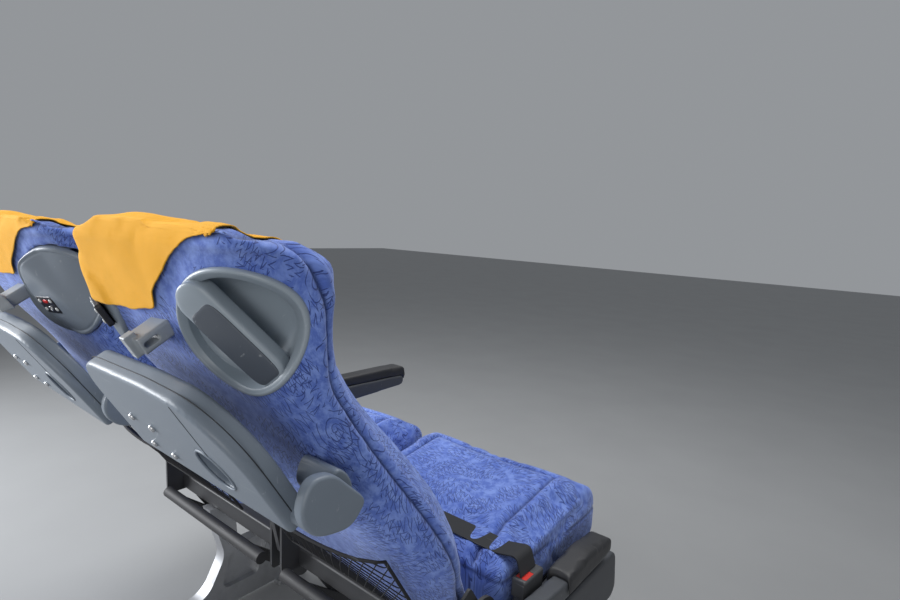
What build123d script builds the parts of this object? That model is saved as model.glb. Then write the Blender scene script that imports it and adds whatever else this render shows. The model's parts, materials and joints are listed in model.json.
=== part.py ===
from build123d import *
import os
from functools import lru_cache
from math import cos, sin, radians

# Double passenger seat of a touring coach: an aisle seat and a window seat on one under-frame with
# two floor legs. Millimetres. +Y is the way the passengers face, +X points to the aisle, +Z is up,
# and the origin lies on the floor under the middle of the whole seat.

# Seat spacing, recline hinges and the lean of the two backs as they stand
SEAT_PITCH = 490.0
HINGE_Y = -3.0
HINGE_Z = 400.0
HINGE_PIN_R = 8.0
HINGE_BORE_R = 8.4
LEAN = {"aisle": 32.0, "window": 33.5}
SEAT_X = {"aisle": SEAT_PITCH / 2, "window": -SEAT_PITCH / 2}
# Which side of a seat is its outer one: the aisle seat's is +X, the window seat's is -X
OUTER = {"aisle": 1, "window": -1}

# A back's own measures: x across from its middle, s up along its rear face, n rearward from that face
HINGE_S = 76.0
HINGE_N = -48.0
BACK_BOTTOM_S = 98.0
ARM_INNER_HALF = 217.0
TOP_Z = {"aisle": 988.0, "window": 978.0}
HEAD_LEFT = 200.5
HEAD_RIGHT = 186.5
HEAD_CORNER_R = 45.0
HEAD_FRONT_N = -128.0
CROWN_S = 578.0
CROWN = 0.00102
SIDE_ROUND = 52.0
ARC = 0.5523
BACK_REACH = 260.0

# Plan sections of the backs from foot to head. Height s; then the flat half-widths left and right
# of the middle, how far the left end of that flat stands back, the depth of the seam at the sides,
# the depth of the front and the hollow in it
SECTIONS = [
    (58, 140, 120, 0, 52, 84, 6),
    (140, 142, 122, 0, 54, 91, 10),
    (200, 148, 124, 0, 55, 96, 14),
    (300, 165, 128, 0, 55, 98, 14),
    (420, 178, 130, 0, 54, 90, 12),
    (540, 165, 98, 3, 52, 80, 9),
    (590, 155, 73, 9, 62, 88, 7),
    (640, 148, 60, 15, 88, 116, 6),
    (720, 144, 52, 18, 98, 125, 6),
    (810, 142, 46, 18, 114, 132, 6),
]
# Half-widths of each back at those heights, to the left and to the right of its middle
HALF_WIDTHS = {
    "aisle": [
        (178, 206), (178, 211), (181, 233), (200, 240), (218, 206),
        (206, 186), (201, 184), (200, 186), (200, 186), (200, 186),
    ],
    "window": [
        (206, 178), (211, 178), (233, 181), (240, 200), (222, 206),
        (206, 190), (201, 185), (200, 186), (200, 186), (200, 186),
    ],
}

# The oval at the upper right of a back: bowl with a grab bar, or blister dish. Its plane is turned
# to the right and tilted up, and its long axis spun in that plane
OVAL_X = 108.5
OVAL_S = 649.0
OVAL_N = -12.3
OVAL_A = 91.0
OVAL_B = 76.0
OVAL_TURN = 22.4
OVAL_TILT = 7.6
OVAL_SPIN = 25.6
OVAL_REACH = 25.0
BOWL_DEPTH = 46.0
BOWL_WALL = 4.0
BOWL_LIP = 5.0
BAR_LENGTH = 150.0
BAR_WIDTH = 50.0
BAR_TOP = 3.0
BAR_T = 22.0
DISH_RISE = 8.0
DISH_SLOPE = 0.3
DISH_LIP = 4.0
DISH_SEAT = 34.0

# Audio socket plates and the aisle back's crescent trim
SOCKET_W = 54.0
SOCKET_H = 35.0
SOCKET_T = 8.0
SOCKET_LEFT = 50.0
TRIM_RISE = 7.0
TRIM_X = -206.0
TRIM_S = 660.0
COVER_T = 3.0
COVER_LEFT = -172.0
COVER_TRIM_X = -104.0
COVER_TRIM_S = 746.0
COVER_RIGHT = 146.0
COVER_REAR_S = 680.0
COVER_FRONT_S = 628.0

# Folding tray, its hinge ear on the right and lug on the left
TRAY_LEFT = -200.0
TRAY_RIGHT = 176.0
TRAY_FOOT_S = 446.0
TRAY_TOP_S = 628.0
TRAY_NEAR_N = 42.0
TRAY_FAR_N = 74.0
TRAY_AXIS_S = 463.0
TRAY_AXIS_N = 57.0
TRAY_PIN_R = 5.0
CUP_X = 75.0
CUP_S = 511.0
CUP_R = 31.0
EAR_NEAR_X = 182.0
EAR_FAR_X = 216.0

# Magazine net
NET_LEFT = -142.0
NET_RIGHT = 184.0
NET_FOOT_S = 122.0
NET_TOP_S = 300.0
NET_MOUTH = 34.0
NET_T = 3.0

# Cushions and pans
CUSHION_HALF = 223.0
CUSHION_REAR = HINGE_Y + 69.0
CUSHION_FRONT = 446.3
CUSHION_FOOT_Z = 352.0
PAN_T = 3.0
PAN_HALF = 219.0
PAN_FLOOR_Z = 325.0

# Under-frame
BEAM_SIZE = 40.0
BEAM_Z = 305.0
FRONT_BEAM_Y = 330.0
REAR_BEAM_Y = 24.0
BEAM_HALF = 476.0
LEG_X = 330.0
LEG_WIDTH = 34.0
LEG_WEB = 5.0
FOOT_BOLT_Y = 205.0
FOOT_BOLT_R = 5.5
FOOT_T = 12.0
PLATE_T = 6.0
OUTER_PLATE_X = 470.0
INNER_PLATE_X = 14.0
COVER_IN = 476.0
COVER_OUT = 536.0
COVER_WALL = 4.0
ARM_OUT = 541.0
RETRACTOR_TOP = 282.0
BUCKLE_X = 488.0
BUCKLE_Y = 118.0
BUCKLE_TOP = 430.0
STRAP_HALF_T = 1.2

# Armrests
CENTRE_ARM_Y = -62.0
CENTRE_ARM_Z = 628.0
CENTRE_ARM_HALF = 19.0
CENTRE_ARM_TIP = 300.0
POST_HALF = 6.0
AISLE_ARM_Y = HINGE_Y
AISLE_ARM_Z = 398.0
AISLE_ARM_TIP = 352.0

# Footrests, folded up under the rear edge of the seat
FOOTREST_PIVOT_Y = 92.0
FOOTREST_PIVOT_Z = 190.0
FOOTREST_BAR_Y = -44.0
FOOTREST_BAR_Z = 298.0
FOOTREST_BAR_R = 13.0
FOOTREST_BAR_HALF = 205.0
FOOTREST_ARM_X = 150.0


def back_point(seat, x, s, n):
    """A back's (x, s, n) as a point of the whole seat."""
    lean = radians(LEAN[seat])
    ds = s - HINGE_S
    dn = n - HINGE_N
    y = HINGE_Y - ds * sin(lean) - dn * cos(lean)
    z = HINGE_Z + ds * cos(lean) - dn * sin(lean)
    return Vector(SEAT_X[seat] + x, y, z)


def rearward(seat):
    lean = radians(LEAN[seat])
    return Vector(0, -cos(lean), -sin(lean))


def upward(seat):
    lean = radians(LEAN[seat])
    return Vector(0, -sin(lean), cos(lean))


def face_plane(seat, n=0.0):
    """Plane parallel to a back's rear face: x across, y up the back, normal rearward."""
    return Plane(origin=back_point(seat, 0, 0, n), x_dir=(1, 0, 0), z_dir=rearward(seat))


def side_plane(seat, x=0.0):
    """Plane across a back: x rearward, y up the back, normal towards -X."""
    return Plane(origin=back_point(seat, x, 0, 0), x_dir=rearward(seat), z_dir=(-1, 0, 0))


def plan_plane(seat, s):
    """Plane square to a back's height: x across, y forward out of the rear face."""
    return Plane(origin=back_point(seat, 0, s, 0), x_dir=(1, 0, 0), z_dir=upward(seat))


def turned_plane(seat, x, s, n, turn):
    """Rear-face plane at a point, its normal turned by so many degrees towards +X."""
    angle = radians(turn)
    across = Vector(cos(angle), 0, 0) - rearward(seat) * sin(angle)
    out = rearward(seat) * cos(angle) + Vector(sin(angle), 0, 0)
    return Plane(origin=back_point(seat, x, s, n), x_dir=across, z_dir=out)


def oval_plane(seat):
    """Plane over the oval, its x along the long axis and its normal out of the back."""
    turn, tilt, spin = radians(OVAL_TURN), radians(OVAL_TILT), radians(OVAL_SPIN)
    right = Vector(cos(turn), 0, 0) - rearward(seat) * sin(turn)
    out = (rearward(seat) * cos(turn) + Vector(sin(turn), 0, 0)) * cos(tilt) + upward(seat) * sin(tilt)
    long_way = right * cos(spin) + out.cross(right) * sin(spin)
    return Plane(origin=back_point(seat, OVAL_X, OVAL_S, OVAL_N), x_dir=long_way, z_dir=out)


def profile(corners):
    """Closed face in the sketch being drawn, from corners of (first, second, corner radius)."""
    points = [(first, second) for first, second, radius in corners]
    with BuildLine() as line:
        FilletPolyline(*points, radius=[radius for first, second, radius in corners], close=True)
    make_face(line.edges())


def save(builder, name):
    builder.part.label = name
    export_step(builder.part, f"parts/{name}.step")


def plan_section(seat, row, widths, grow):
    """Plan of a back at one height: flat behind, rounded at both sides, slightly hollow in front."""
    s, flat_left, flat_right, lift, seam, front, hollow = row
    left = widths[0] + grow
    right = widths[1] + grow
    rear = CROWN * max(0.0, s - CROWN_S) ** 2 - grow
    rear_left = rear - lift
    front = front + grow
    with BuildSketch(plan_plane(seat, s)) as section:
        with BuildLine() as line:
            Line((-flat_left, rear_left), (flat_right, rear))
            Bezier(
                (flat_right, rear),
                (flat_right + ARC * (right - flat_right), rear),
                (right, seam - ARC * (seam - rear)),
                (right, seam),
            )
            Bezier(
                (right, seam),
                (right, seam + ARC * (front - seam)),
                (right - (1 - ARC) * SIDE_ROUND, front),
                (right - SIDE_ROUND, front),
            )
            ThreePointArc(
                (right - SIDE_ROUND, front),
                ((right - left) / 2, front - hollow),
                (SIDE_ROUND - left, front),
            )
            Bezier(
                (SIDE_ROUND - left, front),
                ((1 - ARC) * SIDE_ROUND - left, front),
                (-left, seam + ARC * (front - seam)),
                (-left, seam),
            )
            Bezier(
                (-left, seam),
                (-left, seam - ARC * (seam - rear_left)),
                (-flat_left - ARC * (left - flat_left), rear_left),
                (-flat_left, rear_left),
            )
        make_face(line.edges())
    return section.sketch.face()


@lru_cache(maxsize=None)
def back_body(seat, grow=0.0):
    """Whole back, shell and pad together, grown all round for the pieces that lie on it."""
    middle = SEAT_X[seat]
    top = TOP_Z[seat] + grow
    left = middle - HEAD_LEFT - grow
    right = middle + HEAD_RIGHT + grow
    lean = radians(LEAN[seat])
    # Where the front face of the head meets the level of the top
    brow_s = HINGE_S + (top - HINGE_Z + (HEAD_FRONT_N - grow - HINGE_N) * sin(lean)) / cos(lean)
    brow = back_point(seat, 0, brow_s, HEAD_FRONT_N - grow)
    chin = back_point(seat, 0, 560, HEAD_FRONT_N - grow)
    rows = zip(SECTIONS, HALF_WIDTHS[seat])
    with BuildPart() as body:
        loft(sections=[plan_section(seat, row, widths, grow) for row, widths in rows])
        with BuildSketch(Plane.XZ):
            profile([
                (middle - 300, 200, 0),
                (middle - 300, 820, 0),
                (left, 885, 20),
                (left, top, HEAD_CORNER_R + grow),
                (right, top, HEAD_CORNER_R + grow),
                (right, 885, 20),
                (middle + 300, 820, 0),
                (middle + 300, 200, 0),
            ])
        extrude(amount=700, both=True, mode=Mode.INTERSECT)
        with BuildSketch(Plane.YZ.offset(middle)):
            profile([
                (-700, 200, 0),
                (-700, top + 50, 0),
                (brow.Y - 90, top + 50, 0),
                (brow.Y - 70, top, 0),
                (brow.Y, top, 38 + grow),
                (chin.Y, chin.Z, 0),
                (300, chin.Z, 0),
                (300, 200, 0),
            ])
        extrude(amount=BACK_REACH, both=True, mode=Mode.INTERSECT)
    return body.part


# The line, seen from the side, where the rear shell meets the front pad: (n, s, corner radius)
SEAM = [
    (-54, BACK_BOTTOM_S, 0),
    (-52, 556, 70),
    (-92, 644, 50),
    (-98, 727, 22),
    (60, 826, 0),
]


@lru_cache(maxsize=None)
def back_shell(seat):
    with BuildPart() as shell:
        add(back_body(seat))
        with BuildSketch(side_plane(seat)):
            profile([(60, BACK_BOTTOM_S, 0)] + SEAM)
        extrude(amount=BACK_REACH, both=True, mode=Mode.INTERSECT)
    return shell.part


def back_pad(seat):
    with BuildPart() as pad:
        add(back_body(seat))
        with BuildSketch(side_plane(seat)):
            profile([(-180, 72, 0), (-54, 72, 0)] + SEAM + [(60, 900, 0), (-180, 900, 0)])
        extrude(amount=BACK_REACH, both=True, mode=Mode.INTERSECT)
    return pad.part


def oval_prism(seat, above, below, margin=0.0):
    with BuildPart() as part:
        with BuildSketch(oval_plane(seat).offset(above)):
            Ellipse(OVAL_A + margin, OVAL_B + margin)
        extrude(amount=-(above + below))
    return part.part


def oval_cone(seat, top_inset, floor_inset, depth):
    """Straight-sided oval plug from above the back down to its depth, narrower at the floor."""
    plane = oval_plane(seat)
    with BuildPart() as part:
        with BuildSketch(plane.offset(OVAL_REACH)):
            Ellipse(OVAL_A - top_inset, OVAL_B - top_inset)
        with BuildSketch(plane.offset(-depth)):
            Ellipse(OVAL_A - floor_inset, OVAL_B - floor_inset)
        loft(ruled=True)
    return part.part


def bowl_pocket(seat):
    return oval_cone(seat, 4, 16, BOWL_DEPTH)


@lru_cache(maxsize=None)
def bowl(seat):
    """Oval bowl sunk in the back, with a lip that follows the back's curved face."""
    with BuildPart() as part:
        add(oval_prism(seat, OVAL_REACH, 40))
        add(back_body(seat), mode=Mode.SUBTRACT)
        add(bowl_pocket(seat))
        add(back_body(seat, BOWL_LIP), mode=Mode.INTERSECT)
        add(oval_cone(seat, 8, 20, BOWL_DEPTH - BOWL_WALL), mode=Mode.SUBTRACT)
    return part.part.solids().sort_by(SortBy.VOLUME)[-1]


def grab_bar(seat):
    """Flat bar across the bowl, trimmed by the bowl's own wall."""
    plane = oval_plane(seat)
    with BuildPart() as part:
        with BuildSketch(plane.offset(BAR_TOP - BAR_T)):
            SlotOverall(BAR_LENGTH, BAR_WIDTH, rotation=92)
        extrude(amount=BAR_T)
        chamfer(part.faces().sort_by(Axis(plane.origin, plane.z_dir))[-1].edges(), 5)
        add(bowl(seat), mode=Mode.SUBTRACT)
        add(bowl_pocket(seat), mode=Mode.INTERSECT)
    return part.part.solids().sort_by(SortBy.VOLUME)[-1]


def dish(seat):
    """Closed oval blister in two facets with a soft ridge between them, seated in the shell."""
    plane = oval_plane(seat)
    reach = OVAL_A + 30
    with BuildPart() as roof:
        with BuildSketch(Plane(origin=plane.origin, x_dir=plane.x_dir, z_dir=-plane.y_dir)):
            profile([
                (-reach, -DISH_SEAT, 0),
                (-reach, DISH_RISE - DISH_SLOPE * reach, 0),
                (0, DISH_RISE, 60),
                (reach, DISH_RISE - DISH_SLOPE * reach, 0),
                (reach, -DISH_SEAT, 0),
            ])
        extrude(amount=reach, both=True)
        add(back_body(seat, DISH_LIP))
        add(oval_prism(seat, OVAL_REACH, DISH_SEAT), mode=Mode.INTERSECT)
    return roof.part


def socket_plane(seat):
    """Plane under a socket plate: on the aisle back's trim, or on the window back's left facet."""
    if seat == "aisle":
        return turned_plane(seat, -155, 662, 12.5, -15)
    plane = oval_plane(seat)
    out = (plane.z_dir - plane.x_dir * DISH_SLOPE).normalized()
    spin = radians(-OVAL_SPIN)
    along = plane.x_dir + plane.z_dir * DISH_SLOPE
    level = along.normalized() * cos(spin) + plane.y_dir * sin(spin)
    height = DISH_RISE - DISH_SLOPE * SOCKET_LEFT
    middle = plane.origin - plane.x_dir * SOCKET_LEFT + plane.y_dir * 4 + plane.z_dir * height
    return Plane(origin=middle - out * (SOCKET_T - 3), x_dir=level, z_dir=out)


def socket_plate(seat):
    with BuildPart() as part:
        with BuildSketch(socket_plane(seat)):
            RectangleRounded(SOCKET_W, SOCKET_H, 5)
        extrude(amount=SOCKET_T)
    return part.part


def socket_trim(seat):
    """Raised crescent that wraps the left edge of the aisle back and carries the socket plate."""
    with BuildPart() as part:
        with BuildSketch(face_plane(seat, 40)):
            with Locations((TRIM_X, TRIM_S)):
                Ellipse(70, 70)
        with BuildSketch(face_plane(seat, -66)):
            with Locations((TRIM_X, TRIM_S)):
                Ellipse(132, 94)
        loft(ruled=True)
        add(back_body(seat, TRIM_RISE), mode=Mode.INTERSECT)
        add(back_body(seat), mode=Mode.SUBTRACT)
        add(socket_plate(seat), mode=Mode.SUBTRACT)
    return part.part.solids().sort_by(SortBy.VOLUME)[-1]


def cloth_band(seat, left, right, corners, grow):
    """Layer of cloth on the back inside a side profile, between two distances from the middle."""
    with BuildPart() as part:
        add(back_body(seat, grow + COVER_T))
        if grow:
            add(back_body(seat, grow), mode=Mode.SUBTRACT)
        with BuildSketch(side_plane(seat, right)):
            profile(corners)
        extrude(amount=right - left, mode=Mode.INTERSECT)
    return part.part


def headrest_cover(seat):
    """Loose cloth laid over the head of the back: front drop, top and rear drop in one band."""
    band = [
        (40, COVER_REAR_S, 0),
        (40, 860, 0),
        (-200, 860, 0),
        (-200, COVER_FRONT_S, 0),
        (-75, COVER_FRONT_S, 0),
        (-75, COVER_REAR_S, 0),
    ]
    step = COVER_TRIM_S + 4
    above_trim = [(40, step, 0)] + band[1:5] + [(-75, step, 0)]
    over_trim = [(40, COVER_REAR_S, 0), (40, step, 0), (-60, step, 0), (-60, COVER_REAR_S, 0)]
    shelf = [(40, COVER_TRIM_S, 0), (40, step, 0), (-60, step, 0), (-60, COVER_TRIM_S, 0)]
    with BuildPart() as part:
        if seat == "aisle":
            # On the left the cloth rises over the top of the trim
            add(cloth_band(seat, COVER_TRIM_X, COVER_RIGHT, band, 0))
            add(cloth_band(seat, COVER_LEFT, COVER_TRIM_X, above_trim, 0))
            add(cloth_band(seat, COVER_LEFT, COVER_TRIM_X, over_trim, TRIM_RISE))
            for left, right, corners in (
                (COVER_TRIM_X - 4, COVER_TRIM_X, over_trim),
                (COVER_LEFT, COVER_TRIM_X, shelf),
            ):
                with BuildSketch(side_plane(seat, right)):
                    profile(corners)
                wall = extrude(amount=right - left, mode=Mode.PRIVATE)
                add(wall.intersect(back_body(seat, TRIM_RISE + COVER_T)))
            add(socket_trim(seat), mode=Mode.SUBTRACT)
        else:
            add(cloth_band(seat, COVER_LEFT, COVER_RIGHT, band, 0))
        add(back_body(seat), mode=Mode.SUBTRACT)
        # The rear drop is cut back round the oval
        add(oval_prism(seat, 60, 50, 28), mode=Mode.SUBTRACT)
    return part.part.solids().sort_by(SortBy.VOLUME)[-1]


def net(seat):
    """Magazine net: closed at the foot and sides, its mouth standing off the back."""
    with BuildPart() as part:
        with BuildSketch(side_plane(seat, (NET_LEFT + NET_RIGHT) / 2)):
            with BuildLine():
                Polyline((-14, NET_FOOT_S), (6, NET_FOOT_S), (NET_MOUTH, NET_TOP_S), (-14, NET_TOP_S), close=True)
            make_face()
        extrude(amount=(NET_RIGHT - NET_LEFT) / 2, both=True)
        with BuildSketch(side_plane(seat, (NET_LEFT + NET_RIGHT) / 2)):
            with BuildLine():
                Polyline(
                    (-20, NET_FOOT_S + NET_T),
                    (6 - NET_T, NET_FOOT_S + NET_T),
                    (NET_MOUTH - NET_T, NET_TOP_S + 5),
                    (-20, NET_TOP_S + 5),
                    close=True,
                )
            make_face()
        extrude(amount=(NET_RIGHT - NET_LEFT) / 2 - NET_T, both=True, mode=Mode.SUBTRACT)
        add(back_body(seat), mode=Mode.SUBTRACT)
    return part.part.solids().sort_by(SortBy.VOLUME)[-1]


def tray_hinge(seat):
    """Fin-shaped housing on the right and a slim lug on the left, each with its bore."""
    fin = [
        (-75, 430, 0),
        (27, 425, 8),
        (44, 431, 4),
        (56, 441, 6),
        (70, 458, 10),
        (66, 486, 16),
        (40, 506, 12),
        (-75, 500, 0),
    ]
    with BuildPart() as part:
        with BuildSketch(side_plane(seat, EAR_NEAR_X)):
            profile(fin)
        extrude(amount=-(EAR_FAR_X - EAR_NEAR_X))
        with BuildSketch(side_plane(seat, -(TRAY_RIGHT + 32))):
            profile([
                (-75, 446, 0),
                (TRAY_AXIS_N + 13, 448, 12),
                (TRAY_AXIS_N + 13, 478, 12),
                (-75, 482, 0),
            ])
        extrude(amount=6)
        with BuildSketch(side_plane(seat, 240)):
            with Locations((TRAY_AXIS_N, TRAY_AXIS_S)):
                Circle(TRAY_PIN_R + 0.3)
        extrude(amount=70, mode=Mode.SUBTRACT)
        with BuildSketch(side_plane(seat, -190)):
            with Locations((TRAY_AXIS_N, TRAY_AXIS_S)):
                Circle(TRAY_PIN_R + 0.3)
        extrude(amount=60, mode=Mode.SUBTRACT)
        add(back_body(seat), mode=Mode.SUBTRACT)
        # Nothing of the ears stays in front of the back's seam
        with BuildSketch(face_plane(seat, -30)):
            with Locations((0, 460)):
                Rectangle(520, 200)
        extrude(amount=140, mode=Mode.INTERSECT)
    return part.part


def tray(seat):
    """Two-shell tray: straight foot, big round top corners, cup hole, sunk table face."""
    outline = [
        (TRAY_LEFT, TRAY_FOOT_S, 6),
        (TRAY_LEFT + 4, TRAY_TOP_S - 8, 78),
        (20, TRAY_TOP_S + 2, 300),
        (TRAY_RIGHT - 2, TRAY_TOP_S - 6, 100),
        (TRAY_RIGHT, TRAY_FOOT_S, 6),
    ]
    sunk = [
        (TRAY_LEFT + 16, TRAY_FOOT_S + 26, 12),
        (TRAY_LEFT + 19, TRAY_TOP_S - 23, 64),
        (20, TRAY_TOP_S - 13, 280),
        (TRAY_RIGHT - 17, TRAY_TOP_S - 21, 84),
        (TRAY_RIGHT - 15, TRAY_FOOT_S + 26, 12),
    ]
    with BuildPart() as part:
        with BuildSketch(face_plane(seat, TRAY_NEAR_N)):
            profile(outline)
        extrude(amount=TRAY_FAR_N - TRAY_NEAR_N)
        ends = part.faces().sort_by(Axis(face_plane(seat).origin, rearward(seat)))
        fillet(ends[-1].edges() + ends[0].edges(), 5)
        with BuildSketch(face_plane(seat, TRAY_NEAR_N)):
            profile(sunk)
        extrude(amount=3, mode=Mode.SUBTRACT)
        with BuildSketch(face_plane(seat, TRAY_NEAR_N - 1)):
            with Locations((CUP_X, CUP_S)):
                Circle(CUP_R)
        extrude(amount=TRAY_FAR_N - TRAY_NEAR_N + 2, mode=Mode.SUBTRACT)
        with BuildSketch(side_plane(seat, EAR_NEAR_X + 20)):
            with Locations((TRAY_AXIS_N, TRAY_AXIS_S)):
                Circle(TRAY_PIN_R)
        extrude(amount=30)
        with BuildSketch(side_plane(seat, TRAY_LEFT + 4)):
            with Locations((TRAY_AXIS_N, TRAY_AXIS_S)):
                Circle(TRAY_PIN_R)
        extrude(amount=17)
        # Four rubber stops on the outer face
        with BuildSketch(face_plane(seat, TRAY_FAR_N)):
            with Locations((-120, 531), (-60, 531), (-120, 477), (-60, 477)):
                Circle(5)
        extrude(amount=3)
    return part.part


def latch(seat):
    """Tray latch: the window seat has its round cap, the aisle seat only the bare mechanism."""
    with BuildPart() as part:
        with BuildSketch(face_plane(seat, -12)):
            with Locations((-23, 650)):
                RectangleRounded(40, 22, 4)
        extrude(amount=51)
        if seat == "window":
            with BuildSketch(face_plane(seat, 36)):
                with Locations((-23, 640)):
                    Circle(31)
                with Locations((-23, 615)):
                    Rectangle(70, 50, mode=Mode.SUBTRACT)
            extrude(amount=18, taper=12)
        else:
            with BuildSketch(side_plane(seat, -23)):
                with Locations((26, 650)):
                    SlotOverall(20, 8)
            extrude(amount=30, both=True, mode=Mode.SUBTRACT)
            with BuildSketch(side_plane(seat, -23)):
                with Locations((40, 652)):
                    Rectangle(14, 30)
            extrude(amount=7, both=True)
        add(back_shell(seat), mode=Mode.SUBTRACT)
    return part.part


def recliner_arms(seat):
    """Steel arms on both flanks of a back, from its frame down to the hinge."""
    with BuildPart() as part:
        for side in (-1, 1):
            start = side * ARM_INNER_HALF
            with BuildSketch(side_plane(seat, start)):
                profile([
                    (HINGE_N - 24, HINGE_S - 24, 21),
                    (HINGE_N + 24, HINGE_S - 24, 21),
                    (HINGE_N + 20, 134, 6),
                    (HINGE_N - 20, 134, 6),
                ])
                with Locations((HINGE_N, HINGE_S)):
                    Circle(HINGE_BORE_R, mode=Mode.SUBTRACT)
            extrude(amount=-side * 5)
            # Stud that ties the arm into the foot of the shell
            with BuildSketch(side_plane(seat, start)):
                with Locations((HINGE_N + 12, 118)):
                    Circle(5)
            extrude(amount=side * (20 if side == OUTER[seat] else 62))
    return part.part


def build_back(seat):
    with BuildPart() as arms:
        add(recliner_arms(seat))
    with BuildPart() as shell:
        add(back_shell(seat))
        add(bowl_pocket(seat) if seat == "aisle" else dish(seat), mode=Mode.SUBTRACT)
        add(arms.part, mode=Mode.SUBTRACT)
    with BuildPart() as pad:
        add(back_pad(seat))
        if seat == "aisle":
            add(bowl_pocket(seat), mode=Mode.SUBTRACT)
    if seat == "aisle":
        with BuildPart() as cup:
            add(bowl(seat))
        with BuildPart() as bar:
            add(grab_bar(seat))
        with BuildPart() as trim:
            add(socket_trim(seat))
        save(cup, "grab_bowl")
        save(bar, "grab_bar")
        save(trim, "socket_trim")
    else:
        with BuildPart() as blister:
            add(dish(seat))
            add(socket_plate(seat), mode=Mode.SUBTRACT)
        save(blister, "oval_dish")
    save(arms, f"recliner_arms_{seat}")
    save(shell, f"back_shell_{seat}")
    save(pad, f"back_pad_{seat}")
    pieces = {
        "socket_plate": socket_plate,
        "headrest_cover": headrest_cover,
        "magazine_net": net,
        "tray_hinge": tray_hinge,
        "tray": tray,
        "tray_latch": latch,
    }
    for name, make in pieces.items():
        with BuildPart() as piece:
            add(make(seat))
        save(piece, f"{name}_{seat}")


def build_cushion(seat):
    middle = SEAT_X[seat]
    side_view = [
        (CUSHION_REAR, CUSHION_FOOT_Z, 14),
        (CUSHION_REAR, 446, 16),
        (180, 450, 200),
        (350, 474, 120),
        (CUSHION_FRONT, 466, 42),
        (CUSHION_FRONT - 6, CUSHION_FOOT_Z, 14),
    ]
    with BuildPart() as cushion:
        with BuildSketch(Plane.YZ.offset(middle)):
            profile(side_view)
        extrude(amount=CUSHION_HALF, both=True)
        fillet(cushion.faces().sort_by(Axis.X)[0].edges() + cushion.faces().sort_by(Axis.X)[-1].edges(), 11)
        with BuildSketch(Plane.XY.offset(PAN_FLOOR_Z + PAN_T)):
            with Locations((middle, (CUSHION_REAR + CUSHION_FRONT) / 2)):
                Rectangle(2 * (PAN_HALF - PAN_T), CUSHION_FRONT - CUSHION_REAR - 30)
        extrude(amount=CUSHION_FOOT_Z - PAN_FLOOR_Z - PAN_T)
    save(cushion, f"cushion_{seat}")

    with BuildPart() as pan:
        with BuildSketch(Plane.XY.offset(PAN_FLOOR_Z)):
            with Locations((middle, (CUSHION_REAR + CUSHION_FRONT) / 2)):
                Rectangle(2 * PAN_HALF, CUSHION_FRONT - CUSHION_REAR - 30 + 2 * PAN_T)
        extrude(amount=CUSHION_FOOT_Z - PAN_FLOOR_Z)
        with BuildSketch(Plane.XY.offset(PAN_FLOOR_Z + PAN_T)):
            with Locations((middle, (CUSHION_REAR + CUSHION_FRONT) / 2)):
                Rectangle(2 * (PAN_HALF - PAN_T), CUSHION_FRONT - CUSHION_REAR - 30)
        extrude(amount=CUSHION_FOOT_Z, mode=Mode.SUBTRACT)
        # Lightening holes in the floor, clear of both beams
        with BuildSketch(Plane.XY.offset(PAN_FLOOR_Z)):
            with Locations((middle, 178)):
                with GridLocations(130, 1, 3, 1):
                    SlotOverall(150, 70, rotation=90)
        extrude(amount=PAN_T, mode=Mode.SUBTRACT)
    save(pan, f"seat_pan_{seat}")


def beam(name, y):
    """Square beam with capped ends, drawn solid."""
    with BuildPart() as part:
        with BuildSketch(Plane.YZ.offset(-BEAM_HALF)):
            with Locations((y, BEAM_Z)):
                RectangleRounded(BEAM_SIZE, BEAM_SIZE, 5)
        extrude(amount=2 * BEAM_HALF)
    save(part, name)


def leg(name, x):
    """Cast leg in side view: broad head under both beams, open middle, long foot on the floor."""
    under = BEAM_Z - BEAM_SIZE / 2
    outline = [
        (REAR_BEAM_Y - 34, under, 0),
        (REAR_BEAM_Y + 6, 150, 60),
        (REAR_BEAM_Y - 40, 60, 60),
        (-235, 26, 8),
        (-235, FOOT_T, 0),
        (235, FOOT_T, 0),
        (235, 26, 8),
        (150, 60, 40),
        (190, 150, 60),
        (FRONT_BEAM_Y + 34, under - 26, 12),
        (FRONT_BEAM_Y + 34, under, 0),
    ]
    with BuildPart() as part:
        with BuildSketch(Plane.YZ.offset(x)):
            profile(outline)
        extrude(amount=LEG_WIDTH / 2, both=True)
        # Open middle
        with BuildSketch(Plane.YZ.offset(x)):
            profile([
                (58, 240, 14),
                (66, 165, 18),
                (150, 165, 24),
                (240, 240, 12),
            ])
        extrude(amount=LEG_WIDTH, both=True, mode=Mode.SUBTRACT)
        # Pockets on both faces leave a web and a rim
        for side in (-1, 1):
            with BuildSketch(Plane.YZ.offset(x + side * LEG_WIDTH / 2)):
                profile([
                    (44, 148, 10),
                    (20, 60, 16),
                    (120, 60, 16),
                    (150, 148, 10),
                ])
            extrude(amount=-side * (LEG_WIDTH - LEG_WEB) / 2, mode=Mode.SUBTRACT)
    save(part, name)


def floor_clamps():
    """Four clamp feet, each with its bolt hole, that hold the legs to the floor rails."""
    with BuildPart() as part:
        for x in (-LEG_X, LEG_X):
            for y in (-FOOT_BOLT_Y, FOOT_BOLT_Y):
                with BuildSketch(Plane.XY):
                    with Locations((x, y)):
                        RectangleRounded(70, 60, 8)
                extrude(amount=FOOT_T)
                with BuildSketch(Plane.XY):
                    with Locations((x - 26, y), (x + 26, y)):
                        Circle(FOOT_BOLT_R)
                extrude(amount=FOOT_T, mode=Mode.SUBTRACT)
    save(part, "floor_clamps")


# Recliner plate in side view, from the beams up round the hinge: (y, z, corner radius)
PLATE_OUTLINE = [
    (HINGE_Y - 34, 282, 8),
    (HINGE_Y - 36, HINGE_Z + 34, 34),
    (HINGE_Y + 36, HINGE_Z + 34, 34),
    (HINGE_Y + 60, 336, 40),
    (FRONT_BEAM_Y + 24, 328, 4),
    (FRONT_BEAM_Y + 24, 282, 8),
]


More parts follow.
